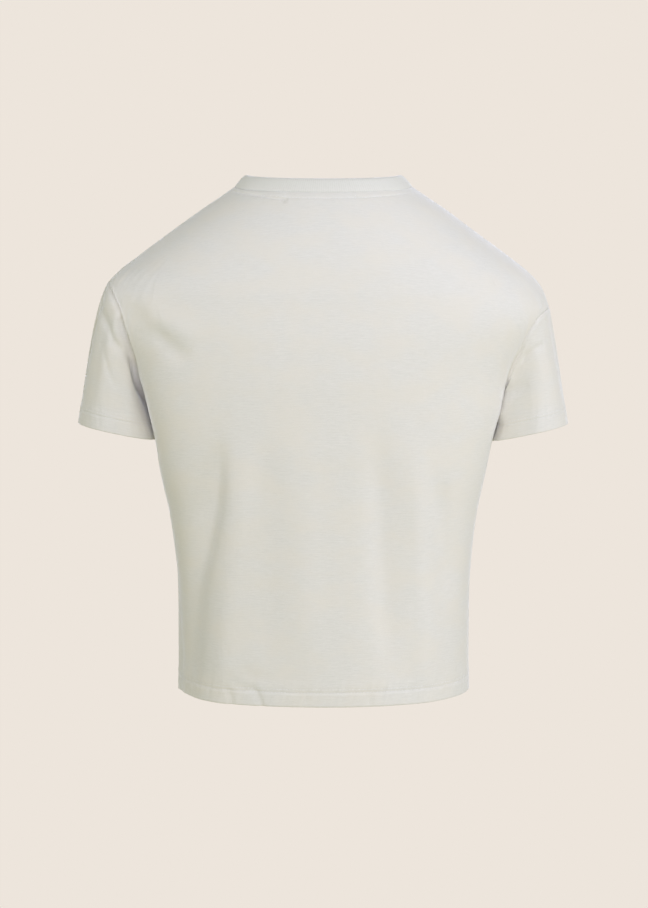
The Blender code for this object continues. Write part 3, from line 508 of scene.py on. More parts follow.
def cloth_mesh(name, outer, inner, wrap, uv, flip, edge_rounds=0.35):
    """A closed sheet between two grids. uv holds metres along the grain, with one column more than
    the grid where it wraps. The first row's edge is the folded hem and is rounded."""
    rows, cols, _ = outer.shape
    middle = 0.5 * (outer[0] + inner[0])
    down = unit(outer[0] - outer[1])
    rim = [middle + (outer[0] - middle) * math.cos(a) + down * edge_rounds * 0.002 * math.sin(a)
           for a in (math.pi / 4, math.pi / 2, 3 * math.pi / 4)]
    verts = np.concatenate([outer.reshape(-1, 3), inner.reshape(-1, 3), np.concatenate(rim)])
    shift, rim_at = rows * cols, 2 * rows * cols
    j = np.arange(cols if wrap else cols - 1)
    right = (j + 1) % cols
    faces, corners = [], []

    def strip(a, b, c, d, uva, uvb, uvc, uvd):
        faces.append(np.stack([a, b, c, d], axis=-1).reshape(-1, 4))
        corners.append(np.stack([uva, uvb, uvc, uvd], axis=-2).reshape(-1, 4, 2))

    i = np.arange(rows - 1)[:, None]
    low, high = uv[:-1], uv[1:]
    a, b, c, d = i * cols + j, i * cols + right, (i + 1) * cols + right, (i + 1) * cols + j
    around = (low[:, :-1], low[:, 1:], high[:, 1:], high[:, :-1])
    strip(a, b, c, d, *around)
    strip(a + shift, d + shift, c + shift, b + shift, around[0], around[3], around[2], around[1])
    ring = [(j, right)] + [(rim_at + n * cols + j, rim_at + n * cols + right) for n in range(3)]
    ring.append((shift + j, shift + right))
    for (p, q), (r, s) in zip(ring[:-1], ring[1:]):
        strip(p, r, s, q, uv[0, :-1], uv[0, :-1], uv[0, 1:], uv[0, 1:])
    top = (rows - 1) * cols
    in_sight = sum(map(len, faces))      # the faces after these close the sewn edges, and are flat
    strip(top + j, top + right, top + right + shift, top + j + shift,
          uv[-1, :-1], uv[-1, 1:], uv[-1, 1:], uv[-1, :-1])
    if not wrap:
        i = np.arange(rows - 1)
        for edge, turned in ((0, False), (cols - 1, True)):
            p, q = i * cols + edge, (i + 1) * cols + edge
            loop = (p, p + shift, q + shift, q) if turned else (p, q, q + shift, p + shift)
            u = (uv[:-1, edge], uv[:-1, edge], uv[1:, edge], uv[1:, edge])
            u = u if turned else (u[0], u[2], u[2], u[0])
            strip(*loop, *u)
            ends = [edge] + [rim_at + n * cols + edge for n in range(3)] + [shift + edge]
            fan = ends if turned else ends[::-1]
            for n in range(1, 4):
                extra = np.array([[fan[0], fan[n], fan[n + 1], fan[n + 1]]])
                faces.append(extra)
                corners.append(np.repeat(uv[0, edge][None, None], 4, axis=1))
    quads = np.concatenate(faces)
    loops = np.concatenate(corners)
    if flip:
        quads, loops = quads[:, ::-1], loops[:, ::-1]
    polygons, places = [], []
    for quad, corner in zip(quads.tolist(), loops.tolist()):
        keep = [n for n in range(4) if quad[n] != quad[n - 1]]
        polygons.append([quad[n] for n in keep])
        places.extend(corner[n] for n in keep)
    mesh = bpy.data.meshes.new(name)
    mesh.from_pydata(verts.tolist(), [], polygons)
    layer = mesh.uv_layers.new(name="grain")
    layer.data.foreach_set("uv", np.array(places, dtype=np.float32).ravel())
    mesh.polygons.foreach_set("use_smooth", np.arange(len(polygons)) < in_sight)
    mesh.update()
    return placed(name, mesh)


def linear(hex_colour):
    """Linear colour from an sRGB hex value."""
    parts = [int(hex_colour[n:n + 2], 16) / 255 for n in (1, 3, 5)]
    return tuple(p / 12.92 if p <= 0.04045 else ((p + 0.055) / 1.055) ** 2.4 for p in parts) + (1.0,)


def node(tree, kind, inputs=None, **settings):
    """Add a node with its settings; inputs maps sockets to values or to sockets that feed them."""
    made = tree.nodes.new(kind)
    for name, value in settings.items():
        setattr(made, name, value)
    for socket, value in (inputs or {}).items():
        if isinstance(value, bpy.types.NodeSocket):
            tree.links.new(value, made.inputs[socket])
        else:
            made.inputs[socket].default_value = value
    return made


def blank_material(name):
    """A new material and its empty node tree."""
    material = bpy.data.materials.new(name)
    material.use_nodes = True
    material.node_tree.nodes.clear()
    return material, material.node_tree


def matte_cotton(tree, colour, bump):
    """Combed cotton under any knit: dull, with a soft sheen from the fibre ends that stand up."""
    cotton = node(tree, "ShaderNodeBsdfPrincipled",
                  {"Base Color": colour, "Roughness": 0.92, "IOR": 1.47, "Specular IOR Level": 0.28,
                   "Sheen Weight": 0.60, "Sheen Roughness": 0.36, "Normal": bump.outputs[0]})
    node(tree, "ShaderNodeOutputMaterial", {"Surface": cotton.outputs[0]})


def cotton_jersey(name, pale, shade, warm):
    """Single jersey in carded cotton: matte, with a short nap that lightens grazing edges, faint
    level streaks where the yarn runs thick and thin, and a mottle of warmer and cooler fibre.
    Wales are 0.9 mm and courses 0.7 mm apart, as knitted."""
    wale, course = 0.9, 0.7
    material, tree = blank_material(name)
    grain = node(tree, "ShaderNodeUVMap", uv_map="grain")
    mm = node(tree, "ShaderNodeMapping", {"Vector": grain.outputs[0], "Scale": (1000, 1000, 1000)})
    at = mm.outputs[0]
    streaks = node(tree, "ShaderNodeMapping", {"Vector": at, "Scale": (1 / 13, 1 / 1.3, 1)})
    slub = node(tree, "ShaderNodeTexNoise", {"Vector": streaks.outputs[0], "Scale": 1.0, "Detail": 3.0,
                                             "Roughness": 0.6})
    short = node(tree, "ShaderNodeMapping", {"Vector": at, "Scale": (1 / 4.2, 1 / 0.9, 1),
                                             "Location": (7.3, 2.9, 0)})
    fleck = node(tree, "ShaderNodeTexNoise", {"Vector": short.outputs[0], "Scale": 1.0, "Detail": 2.0})
    wide = node(tree, "ShaderNodeMapping", {"Vector": at, "Scale": (1 / 46, 1 / 30, 1),
                                            "Location": (1.7, 5.1, 0)})
    mottle = node(tree, "ShaderNodeTexNoise", {"Vector": wide.outputs[0], "Scale": 1.0, "Detail": 3.0})
    level = node(tree, "ShaderNodeMath", {0: slub.outputs[0], 1: 0.62}, operation="MULTIPLY")
    mixed = node(tree, "ShaderNodeMath", {0: fleck.outputs[0], 1: 0.38, 2: level.outputs[0]},
                 operation="MULTIPLY_ADD")
    spread = node(tree, "ShaderNodeMapRange", {0: mixed.outputs[0], 1: 0.30, 2: 0.70, 3: 0.0, 4: 1.0})
    cloth = node(tree, "ShaderNodeMix", {0: spread.outputs[0], 6: linear(shade), 7: linear(pale)},
                 data_type="RGBA")
    tint = node(tree, "ShaderNodeMapRange", {0: mottle.outputs[0], 1: 0.40, 2: 0.64, 3: 0.0, 4: 0.55})
    toned = node(tree, "ShaderNodeMix", {0: tint.outputs[0], 6: cloth.outputs[2], 7: linear(warm)},
                 data_type="RGBA")
    # knitted loops: each wale is a column of V shapes, two legs that lean to its middle
    part = node(tree, "ShaderNodeSeparateXYZ", {0: at})
    wales = node(tree, "ShaderNodeMath", {0: part.outputs[0], 1: 1 / wale}, operation="MULTIPLY")
    within = node(tree, "ShaderNodeMath", {0: wales.outputs[0]}, operation="FRACT")
    lean = node(tree, "ShaderNodeMath", {0: within.outputs[0], 1: 0.5}, operation="SUBTRACT")
    legs = node(tree, "ShaderNodeMath", {0: lean.outputs[0]}, operation="ABSOLUTE")
    rows = node(tree, "ShaderNodeMath", {0: part.outputs[1], 1: 1 / course, 2: legs.outputs[0]},
                operation="MULTIPLY_ADD")
    turns = node(tree, "ShaderNodeMath", {0: rows.outputs[0], 1: 2 * math.pi}, operation="MULTIPLY")
    loops = node(tree, "ShaderNodeMath", {0: turns.outputs[0]}, operation="SINE")
    groove = node(tree, "ShaderNodeMath", {0: legs.outputs[0], 1: -1.6, 2: loops.outputs[0]},
                  operation="MULTIPLY_ADD")
    fuzz = node(tree, "ShaderNodeTexNoise", {"Vector": at, "Scale": 1.9, "Detail": 2.0})
    height = node(tree, "ShaderNodeMath", {0: fuzz.outputs[0], 1: 1.6, 2: groove.outputs[0]},
                  operation="MULTIPLY_ADD")
    fine = node(tree, "ShaderNodeBump", {"Strength": 0.30, "Distance": 0.00009, "Height": height.outputs[0]})
    soft = node(tree, "ShaderNodeBump", {"Strength": 0.35, "Distance": 0.0005, "Height": mixed.outputs[0],
                                         "Normal": fine.outputs[0]})
    matte_cotton(tree, toned.outputs[2], soft)
    return material


jersey = cotton_jersey("off_white_cotton_jersey", "#DFDCD0", "#D5D2C5", "#DED8C7")

fine, fine_out = {}, {}
for face in ("back", "front"):
    fine[face], fine_out[face] = fine_panel(face)


def ridge_outward(grid, j):
    """Outward vector of the shoulder line at column j, square to Y."""
    a, b = max(j - 1, 0), min(j + 1, grid.shape[1] - 1)
    if j == NECK_FINE[0]:
        b = j
    if j == NECK_FINE[1]:
        a = j
    run = unit((grid[-1, b] - grid[-1, a]) * np.array([1, 0, 1]))
    out = np.cross(run, [0, 1, 0])
    return out * (1 if out[2] > 0 else -1)


def set_panel(face):
    """Outer surface, inner surface and grain places of a panel, with folds and sewn edges."""
    grid, out = fine[face], fine_out[face].copy()
    rows, cols, _ = grid.shape
    across, above = lengths(grid, 1), lengths(grid, 0)
    across = across - across[:, [(cols - 1) // 2]]
    gaps = {"right": across - across[:, :1], "left": across[:, -1:] - across}
    side_gap = np.minimum(gaps["right"], gaps["left"])
    top_gap = above[-1:] - above
    fade = smoothstep(0, FOLD_FADE[0], side_gap) * smoothstep(0, FOLD_FADE[1], top_gap)
    height = fold_field(FOLDS, face, grid[..., 0], grid[..., 2]) * fade
    height += hem_relief(11 if face == "back" else 12, across, above, smoothstep(0, 0.008, side_gap))
    for name, x, slant, half, depth in HEM_PULLS:
        if name == face:
            line = grid[..., 0] - x - slant * above / HEM_TURN
            height += depth * np.exp(-(line / half) ** 2) * (1 - smoothstep(0.008, HEM_TURN + 0.004, above))
    seam_share = NECK_SEAM + (1 - NECK_SEAM) * smoothstep(0, 0.020, top_gap)
    height += seam_share * seam_relief(np.minimum(side_gap, top_gap))
    smooth = height
    if face == "back":
        height = height + allowance_relief(grid[..., 0], top_gap)
    outer = grid + out * height[..., None]
    outer[..., 1] += lip_relief(face, gaps) * (1 if face == "back" else -1)
    wall = cloth_wall(above)
    if face == "back":
        wall = wall + (height - smooth)
        wall += ALLOWANCE_WALL * (1 - smoothstep(NECK_ROW + 0.0034, NECK_ROW + 0.0060, top_gap))
    inner = outer - out * wall[..., None]
    uv = np.stack([across, above], axis=-1)
    return outer, inner, uv


panels, panel_skin = {}, {}
for face in ("front", "back"):
    outer, inner, uv = set_panel(face)
    piece = cloth_mesh(face + "_jersey", outer, inner, False, uv, face == "back")
    piece.data.materials.append(jersey)
    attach(piece, "root")
    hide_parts(face + "_panel")
    panels[face], panel_skin[face] = piece, outer


# ================================================================ sewing of the panels
# Core-spun polyester thread in the cloth's colour. Twin rows hold the hem, one row holds the back
# neck's allowance, and two short tacks cross it.
THREAD = 0.00042         # thread as laid, a little thicker than spun so that it shows
STITCH, STITCH_GAP = 0.0027, 0.0006


def thread_cotton(name, pale):
    """Thread: two plies twisted at 0.7 mm, a shade brighter than the cloth and a little smoother."""
    material, tree = blank_material(name)
    place = node(tree, "ShaderNodeTexCoord")
    twist = node(tree, "ShaderNodeTexNoise", {"Vector": place.outputs["Object"], "Scale": 1400.0,
                                              "Detail": 2.0})
    tone = node(tree, "ShaderNodeMapRange", {0: twist.outputs[0], 1: 0.3, 2: 0.7, 3: 0.0, 4: 1.0})
    mixed = node(tree, "ShaderNodeMix", {0: tone.outputs[0], 6: linear("#C9C7BF"), 7: linear(pale)},
                 data_type="RGBA")
    bump = node(tree, "ShaderNodeBump", {"Strength": 0.4, "Distance": 0.0001, "Height": twist.outputs[0]})
    thread = node(tree, "ShaderNodeBsdfPrincipled",
                  {"Base Color": mixed.outputs[2], "Roughness": 0.7, "IOR": 1.5,
                   "Sheen Weight": 0.1, "Normal": bump.outputs[0]})
    node(tree, "ShaderNodeOutputMaterial", {"Surface": thread.outputs[0]})
    return material


thread = thread_cotton("core_spun_sewing_thread", "#F1F0EA")


def stitch_tree():
    """Geometry nodes: lays a stitch at every pitch along a line, flat on the cloth it crosses."""
    tree = bpy.data.node_groups.new("stitches_along_line", "GeometryNodeTree")
    face = tree.interface
    face.new_socket("Line", in_out="INPUT", socket_type="NodeSocketGeometry")
    for name, kind in (("Pitch", "NodeSocketFloat"), ("Stitch Length", "NodeSocketFloat"),
                       ("Thread", "NodeSocketFloat"), ("Seed", "NodeSocketInt"),
                       ("Material", "NodeSocketMaterial")):
        face.new_socket(name, in_out="INPUT", socket_type=kind)
    face.new_socket("Stitches", in_out="OUTPUT", socket_type="NodeSocketGeometry")
    given = node(tree, "NodeGroupInput")
    curve = node(tree, "GeometryNodeMeshToCurve", {0: given.outputs["Line"]})
    spaced = node(tree, "GeometryNodeResampleCurve", {"Curve": curve.outputs[0],
                                                      "Length": given.outputs["Pitch"]}, mode="LENGTH")
    tangent = node(tree, "GeometryNodeInputTangent")
    outward = node(tree, "GeometryNodeInputNamedAttribute", {"Name": "cloth_out"}, data_type="FLOAT_VECTOR")
    along = node(tree, "FunctionNodeAlignRotationToVector", {"Vector": tangent.outputs[0]}, axis="X")
    upright = node(tree, "FunctionNodeAlignRotationToVector",
                   {"Rotation": along.outputs[0], "Vector": outward.outputs[0]}, axis="Z", pivot_axis="X")
    sway = node(tree, "FunctionNodeRandomValue", {2: -0.10, 3: 0.10, "Seed": given.outputs["Seed"]})
    turned = node(tree, "ShaderNodeCombineXYZ", {2: sway.outputs[1]})
    swayed = node(tree, "FunctionNodeRotateRotation",
                  {"Rotation": upright.outputs[0], "Rotate By": turned.outputs[0]}, rotation_space="LOCAL")
    size = node(tree, "FunctionNodeRandomValue", {2: 0.90, 3: 1.06, "Seed": given.outputs["Seed"]})
    bead = node(tree, "GeometryNodeMeshUVSphere", {"Segments": 8, "Rings": 6, "Radius": 0.5})
    shape = node(tree, "ShaderNodeCombineXYZ", {0: given.outputs["Stitch Length"],
                                                1: given.outputs["Thread"], 2: given.outputs["Thread"]})
    stitch = node(tree, "GeometryNodeTransform", {"Geometry": bead.outputs[0], "Scale": shape.outputs[0]})
    laid = node(tree, "GeometryNodeInstanceOnPoints",
                {"Points": spaced.outputs[0], "Instance": stitch.outputs[0],
                 "Rotation": swayed.outputs[0], "Scale": size.outputs[1]})
    real = node(tree, "GeometryNodeRealizeInstances", {0: laid.outputs[0]})
    smooth = node(tree, "GeometryNodeSetShadeSmooth", {0: real.outputs[0]})
    coloured = node(tree, "GeometryNodeSetMaterial", {"Geometry": smooth.outputs[0],
                                                      "Material": given.outputs["Material"]})
    node(tree, "NodeGroupOutput", {0: coloured.outputs[0]})
    return tree


stitches_along_line = stitch_tree()


def sew(name, lines, pitch=STITCH + STITCH_GAP, stitch=STITCH, seed=1):
    """Stitches along lines; each line is (points, outward vectors, closed)."""
    verts, outs, edges = [], [], []
    for points, out, closed in lines:
        start = len(verts)
        verts += (points + out * THREAD * 0.12).tolist()
        outs += out.tolist()
        edges += [(start + n, start + n + 1) for n in range(len(points) - 1)]
        if closed:
            edges.append((start + len(points) - 1, start))
    mesh = bpy.data.meshes.new(name + "_line")
    mesh.from_pydata(verts, edges, [])
    mesh.attributes.new("cloth_out", "FLOAT_VECTOR", "POINT").data.foreach_set(
        "vector", np.array(outs, dtype=np.float32).ravel())
    guide = placed(name + "_line", mesh)
    modifier = guide.modifiers.new("stitches", "NODES")
    modifier.node_group = stitches_along_line
    given = {"Pitch": pitch, "Stitch Length": stitch, "Thread": THREAD, "Seed": seed, "Material": thread}
    for item in stitches_along_line.interface.items_tree:
        if item.in_out == "INPUT" and item.name in given:
            modifier[item.identifier] = given[item.name]
    shown = guide.evaluated_get(bpy.context.evaluated_depsgraph_get())
    made = bpy.data.meshes.new_from_object(shown)
    made.name = name
    bpy.data.objects.remove(guide)
    return placed(name, made)


def at_height(skin, outward, above, distance):
    """The line on a grid at one distance above its first row, and the outward vectors there."""
    points, outs = [], []
    for j in range(skin.shape[1]):
        places = [np.interp(distance, above[:, j], skin[:, j, n]) for n in range(3)]
        ways = [np.interp(distance, above[:, j], outward[:, j, n]) for n in range(3)]
        points.append(places)
        outs.append(ways)
    return np.array(points), unit(np.array(outs))


sewing = {}
for face in ("front", "back"):
    skin, outward = panel_skin[face], fine_out[face]
    above = lengths(fine[face], 0)
    rows = [at_height(skin, outward, above, height) + (False,) for height in HEM_ROWS]
    sewing[face] = [sew(face + "_hem_stitches", rows, seed=3)]

# back neck row, 7 mm below the neckband seam, and the two tacks across it
TACKS = (0.0405, -0.0310)
skin, outward = panel_skin["back"][::-1], fine_out["back"][::-1]
below = lengths(skin, 0)
row, row_out = at_height(skin, outward, below, NECK_ROW)
inside = slice(NECK_FINE[0] - 2, NECK_FINE[1] + 3)
neck_rows = [(row[inside], row_out[inside], False)]
sewing["back"].append(sew("back_neck_stitches", neck_rows, seed=7))
tack_lines = []
for x in TACKS:
    j = int(np.argmin(abs(row[:, 0] - x)))
    depth = np.linspace(0.0012, NECK_ROW + 0.0008, 12)
    points = np.array([[np.interp(d, below[:, j], skin[:, j, n]) for n in range(3)] for d in depth])
    tack_lines.append((points, np.repeat(row_out[j][None], len(depth), axis=0), False))
sewing["back"].append(sew("back_neck_tacks", tack_lines, pitch=0.0016, stitch=0.0015, seed=9))

for face in ("front", "back"):
    for part in sewing[face]:
        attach(part, "root")


# ================================================================ sleeves
# Each sleeve is one piece of the same jersey, closed to a short tube under the arm, set into the
# armhole and turned up at its lower edge with the same twin-needle row.
CUFF_CENTRE = {"left": (0.2145, -0.020), "right": (0.2100, -0.013)}
CUFF_HALF = (0.0405, 0.0600)
CUFF_POWER = {"left": 3.0, "right": 4.0}
CUFF_OUTER_Z = -0.2410
CUFF_TIP = (0.200, 0.035)
SLEEVE_REACH = {"left": 0.05, "right": 0.60}
LOW_GROWS, START_ON, START_OUT = 0.9, 0.6, 0.75      # how the sleeve sets off from its seam
SLEEVE_GIRTH, SLEEVE_LENGTH = 0.34, 0.15
SEAM_BLEND = 0.09        # share of the way down where the sleeve's own outward vectors take over
CREASE_START = 0.2       # creases fade in over this share of the way down
SLEEVE_DRAWN = 0.55      # how far its needle rows draw in, against the body hem's
SEAM_PULL, CUFF_PULL, CUFF_FLARE = (0.48, 0.22), (1.0, 0.2), (0.16, 0.03, 0.05)
SLEEVE_ROWS = 12

# place round the tube in turns from the top (back half 0 to 0.5) and share of the way down
# side, turn and share down at one end and at the other, half width, depth
CREASES = [
    ("left", 0.03, 0.23, 0.19, 0.32, 0.0068, -0.0018),
    ("left", 0.22, 0.29, 0.33, 0.12, 0.0070, -0.0018),
    ("left", 0.17, 0.49, 0.23, 0.58, 0.0060, -0.0008),
    ("left", 0.90, 0.20, 0.66, 0.50, 0.0070, -0.0024),
    ("right", 0.215, 0.07, 0.270, 0.05, 0.0040, -0.0040),
    ("right", 0.14, 0.30, 0.22, 0.21, 0.0050, -0.0014),
    ("right", 0.27, 0.47, 0.35, 0.18, 0.0090, -0.0016),
    ("right", 0.33, 0.10, 0.36, 0.55, 0.0150, 0.0055),
    ("right", 0.88, 0.24, 0.68, 0.54, 0.0070, -0.0024),
]

# how deep the sleeve sinks beside the armhole seam, under the panel's edge, and how far from it,
# at places round the tube in turns
TUCK_START = 0.0012
TUCK_COLUMNS = ("side", "turn", "reach", "depth")
TUCKS = [
    ("left", 0.00, 0.0030, -0.0006),
    ("left", 0.05, 0.0045, -0.0026),
    ("left", 0.14, 0.0062, -0.0050),
    ("left", 0.24, 0.0086, -0.0088),
    ("left", 0.34, 0.0112, -0.0092),
    ("left", 0.43, 0.0100, -0.0066),
    ("left", 0.50, 0.0070, -0.0026),
    ("left", 0.75, 0.0060, -0.0022),
    ("left", 1.00, 0.0030, -0.0006),
    ("right", 0.00, 0.0035, -0.0004),
    ("right", 0.10, 0.0030, -0.0012),
    ("right", 0.22, 0.0030, -0.0010),
    ("right", 0.40, 0.0050, -0.0002),
    ("right", 0.50, 0.0050, -0.0008),
    ("right", 0.75, 0.0060, -0.0020),
    ("right", 1.00, 0.0035, -0.0004),
]


def tuck(side, turns, down_run):
    """How far the sleeve sinks beside its seam."""
    table = [row for row in TUCKS if row[0] == side]
    places = column(table, TUCK_COLUMNS, "turn")
    reach, depth = (smooth_curve(places, column(table, TUCK_COLUMNS, name))(turns)
                    for name in TUCK_COLUMNS[2:])
    return depth * np.exp(-(down_run / reach) ** 2) * smoothstep(0, TUCK_START, down_run)


def cuff_point(side, turn):
    """Point of the sleeve's opening; turn 0 is outermost, 0.25 the back, 0.5 next to the body."""
    cx, cy = CUFF_CENTRE[side]
    across, back = np.cos(2 * np.pi * turn), np.sin(2 * np.pi * turn)
    bend = 2 / CUFF_POWER[side] if across < 0 else 1.0
    x = cx + CUFF_HALF[0] * np.sign(across) * abs(across) ** bend
    y = cy + CUFF_HALF[1] * np.sign(back) * abs(back) ** bend
    z = CUFF_OUTER_Z - CUFF_TIP[0] * (cx + CUFF_HALF[0] - x) + CUFF_TIP[1] * (y - cy)
    return np.array([x if side == "left" else -x, y, z])


def armhole_loop(side, fields, picks=slice(None)):
    """A field along the armhole: shoulder point, down the back, underarm, up the front."""
    j = -1 if side == "left" else 0
    back = fields["back"][UNDERARM_ROW:, j][picks][::-1]
    front = fields["front"][UNDERARM_ROW:, j][picks]
    return np.concatenate([back, front[1:-1]])


def loop_turns(loop):
    """Place of each point round the loop, in turns, with the underarm at one half."""
    steps = np.linalg.norm(np.roll(loop, -1, axis=0) - loop, axis=1)
    run = np.concatenate([[0.0], np.cumsum(steps)])
    half, total = run[len(loop) // 2], run[-1]
    return np.where(run[:-1] <= half, 0.5 * run[:-1] / half, 0.5 + 0.5 * (run[:-1] - half) / (total - half))


def coarse_sleeve(side, loop, cloth_out):
    """The sleeve's coarse grid from the armhole down to the cuff."""
    sign = 1.0 if side == "left" else -1.0
    turns = loop_turns(loop)
    runs = unit(np.roll(loop, -1, axis=0) - np.roll(loop, 1, axis=0))
    panel_out = unit(cloth_out - runs * (cloth_out * runs).sum(axis=1, keepdims=True))
    onward = np.cross(runs, panel_out) * sign
    ends = np.array([cuff_point(side, turn) for turn in turns])
    low = np.minimum(1.0, LOW_GROWS * (1 - np.cos(2 * np.pi * turns)))[:, None]
    starts = unit(START_ON * onward + START_OUT * low * np.array([sign, 0, 0])
                  + SLEEVE_REACH[side] * (1 - low) * unit(ends - loop))
    span = np.linalg.norm(ends - loop, axis=1, keepdims=True)
    wave = np.cos(2 * np.pi * turns)[:, None]
    outside, inside = np.maximum(wave, 0), np.maximum(-wave, 0)
    down = unit(np.concatenate([sign * (CUFF_FLARE[0] * outside - CUFF_FLARE[1] * inside),
                                CUFF_FLARE[2] * np.sin(2 * np.pi * turns)[:, None],
                                -np.ones_like(wave)], axis=1))
    t0 = starts * span * (SEAM_PULL[0] + SEAM_PULL[1] * inside)
    t1 = down * span * (CUFF_PULL[0] - CUFF_PULL[1] * inside)
    return np.array([(2 * t ** 3 - 3 * t ** 2 + 1) * loop + (t ** 3 - 2 * t ** 2 + t) * t0
                     + (3 * t ** 2 - 2 * t ** 3) * ends + (t ** 3 - t ** 2) * t1
                     for t in np.linspace(0, 1, SLEEVE_ROWS + 1)])


def round_normals(grid, sign):
    """Outward unit vectors of a closed tube of points."""
    around = np.roll(grid, -1, axis=1) - np.roll(grid, 1, axis=1)
    down = np.gradient(grid, axis=0)
    return unit(np.cross(around, down)) * sign


def wrap_refine(values, at, count, corners):
    """refine along a closed line of `count` knots one apart."""
    reach = 3
    padded = np.concatenate([values[-reach:], values, values[:reach]])
    inside = [(index + reach, weight) for index, weight in corners]
    return refine(padded, np.arange(-reach, count + reach), at, inside)


# fine rows: (share of the way down, rows to there), closer at the seam and in the hem
SLEEVE_FINE = ((0.0, 0), (0.14, 30), (0.80, 86), (1.0, 126))
for side in ("left", "right"):
    sign = 1.0 if side == "left" else -1.0
    loop = armhole_loop(side, fine, COARSE_ARM)
    cloth_out = armhole_loop(side, fine_out, COARSE_ARM)
    cloth_out[0] = ridge_outward(fine["back"], fine["back"].shape[1] - 1 if side == "left" else 0)
    cloth_out[ARM_ROWS] = unit(fine_out["back"][UNDERARM_ROW, -1 if side == "left" else 0]
                               + fine_out["front"][UNDERARM_ROW, -1 if side == "left" else 0])
    coarse = coarse_sleeve(side, loop, cloth_out)
    count = coarse.shape[1]
    # knots round the loop follow the panels' own rows, so that both edges are the same line
    heights = ROW_KNOTS[BODY_ROWS:]
    down_back = (heights[-1] - heights[::-1])
    knots = np.concatenate([down_back, down_back[-1] + (heights - heights[0])[1:]])
    share = np.interp(ROW_PLACES[UNDERARM_ROW:], np.arange(BODY_ROWS, TOP_ROW + 1), heights)
    fine_back = heights[-1] - share[::-1]
    fine_at = np.concatenate([fine_back, fine_back[-1] + (share - share[0])[1:-1]])
    weights = np.zeros((SLEEVE_ROWS + 1, 1))
    weights[0], weights[1] = 1.0, 0.4
    ring = np.concatenate([coarse, coarse[:, :1]], axis=1).transpose(1, 0, 2)
    lead = 3
    ring = np.concatenate([ring[-1 - lead:-1], ring, ring[1:1 + lead]])
    all_knots = np.concatenate([knots[-1 - lead:-1] - knots[-1], knots, knots[1:1 + lead] + knots[-1]])
    corners = [(lead, weights), (lead + ARM_ROWS, weights), (lead + count, weights)]
    wide = refine(ring, all_knots, fine_at, corners).transpose(1, 0, 2)
    shares, counts = zip(*SLEEVE_FINE)
    downs = np.interp(np.arange(counts[-1] + 1), counts, shares)
    grid = refine(wide, np.linspace(0, 1, SLEEVE_ROWS + 1), downs)
    turns = loop_turns(grid[0])
    out = round_normals(grid, -sign)
    own = smoothstep(0.0, SEAM_BLEND, downs)[:, None, None]
    out = unit(out * own + armhole_loop(side, fine_out)[None] * (1 - own))
    down_run = lengths(grid, 0)
    above = down_run[-1:] - down_run
    height = np.zeros(grid.shape[:2])
    px, py = turns[None, :] * SLEEVE_GIRTH, downs[:, None] * SLEEVE_LENGTH
    for name, turn0, down0, turn1, down1, half, depth in CREASES:
        if name == side:
            ax, ay = turn0 * SLEEVE_GIRTH, down0 * SLEEVE_LENGTH
            bx, by = turn1 * SLEEVE_GIRTH, down1 * SLEEVE_LENGTH
            t = np.clip(((px - ax) * (bx - ax) + (py - ay) * (by - ay))
                        / ((bx - ax) ** 2 + (by - ay) ** 2), 0, 1)
            gap = np.hypot(px - ax - t * (bx - ax), py - ay - t * (by - ay))
            height += depth * np.exp(-(gap / half) ** 2) * smoothstep(0, CREASE_START, downs)[:, None]
    around = lengths(np.concatenate([grid, grid[:, :1]], axis=1), 1)
    height += hem_relief(13 if side == "left" else 14, around[:, :-1], above, 1.0, SLEEVE_DRAWN)
    height += seam_relief(down_run) + tuck(side, turns, down_run)
    outer = grid + out * height[..., None]
    wall = cloth_wall(above)
    inner = outer - out * wall[..., None]
    uv = np.stack([around, np.concatenate([above, above[:, :1]], axis=1)], axis=-1)
    # rows run from the hem up, as on the panels
    outer, inner, uv = outer[::-1], inner[::-1], uv[::-1]
    piece = cloth_mesh("sleeve_" + side + "_jersey", outer, inner, True, uv, side == "right")
    piece.data.materials.append(jersey)
    outward = round_normals(outer, sign)
    rows = [at_height(outer, outward, lengths(outer, 0), height) + (True,) for height in HEM_ROWS]
    stitches = sew("sleeve_" + side + "_hem_stitches", rows, seed=5)
    for part in (piece, stitches):
        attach(part, "root")
    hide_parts("sleeve_" + side)


# ================================================================ neckband
# A strip of one-by-one rib knit, folded double along its length and sewn on by its raw edges, so
# that the fold is the neck's upper edge. Its wales stand out as fine upright ribs.
BAND_HEIGHT, BAND_CLOTH = 0.0180, 0.0021
BAND_SWELL = 0.0006
BAND_LIFT = (46, 10, 12)
BAND_CENTRE_Y = -0.006
BAND_SOFTEN = 0.012
BAND_ROLL = 0.0016        # the folded edge rolls in by this much
RIB_PITCH, RIB_HEIGHT = 0.0023, 0.00012
RIB_PARTS = 6
BAND_UP_ROWS, BAND_FOLD_ROWS = 10, 4


def neck_ring(fields):
    """A field along the neckline at the coarse columns: back right to left, then front left to right."""
    places = np.arange(NECK_FINE[0], NECK_FINE[1] + 1, COLUMN_PARTS)
    back, front = fields["back"][-1, places], fields["front"][-1, places]
    return np.concatenate([back, front[-2:0:-1]])


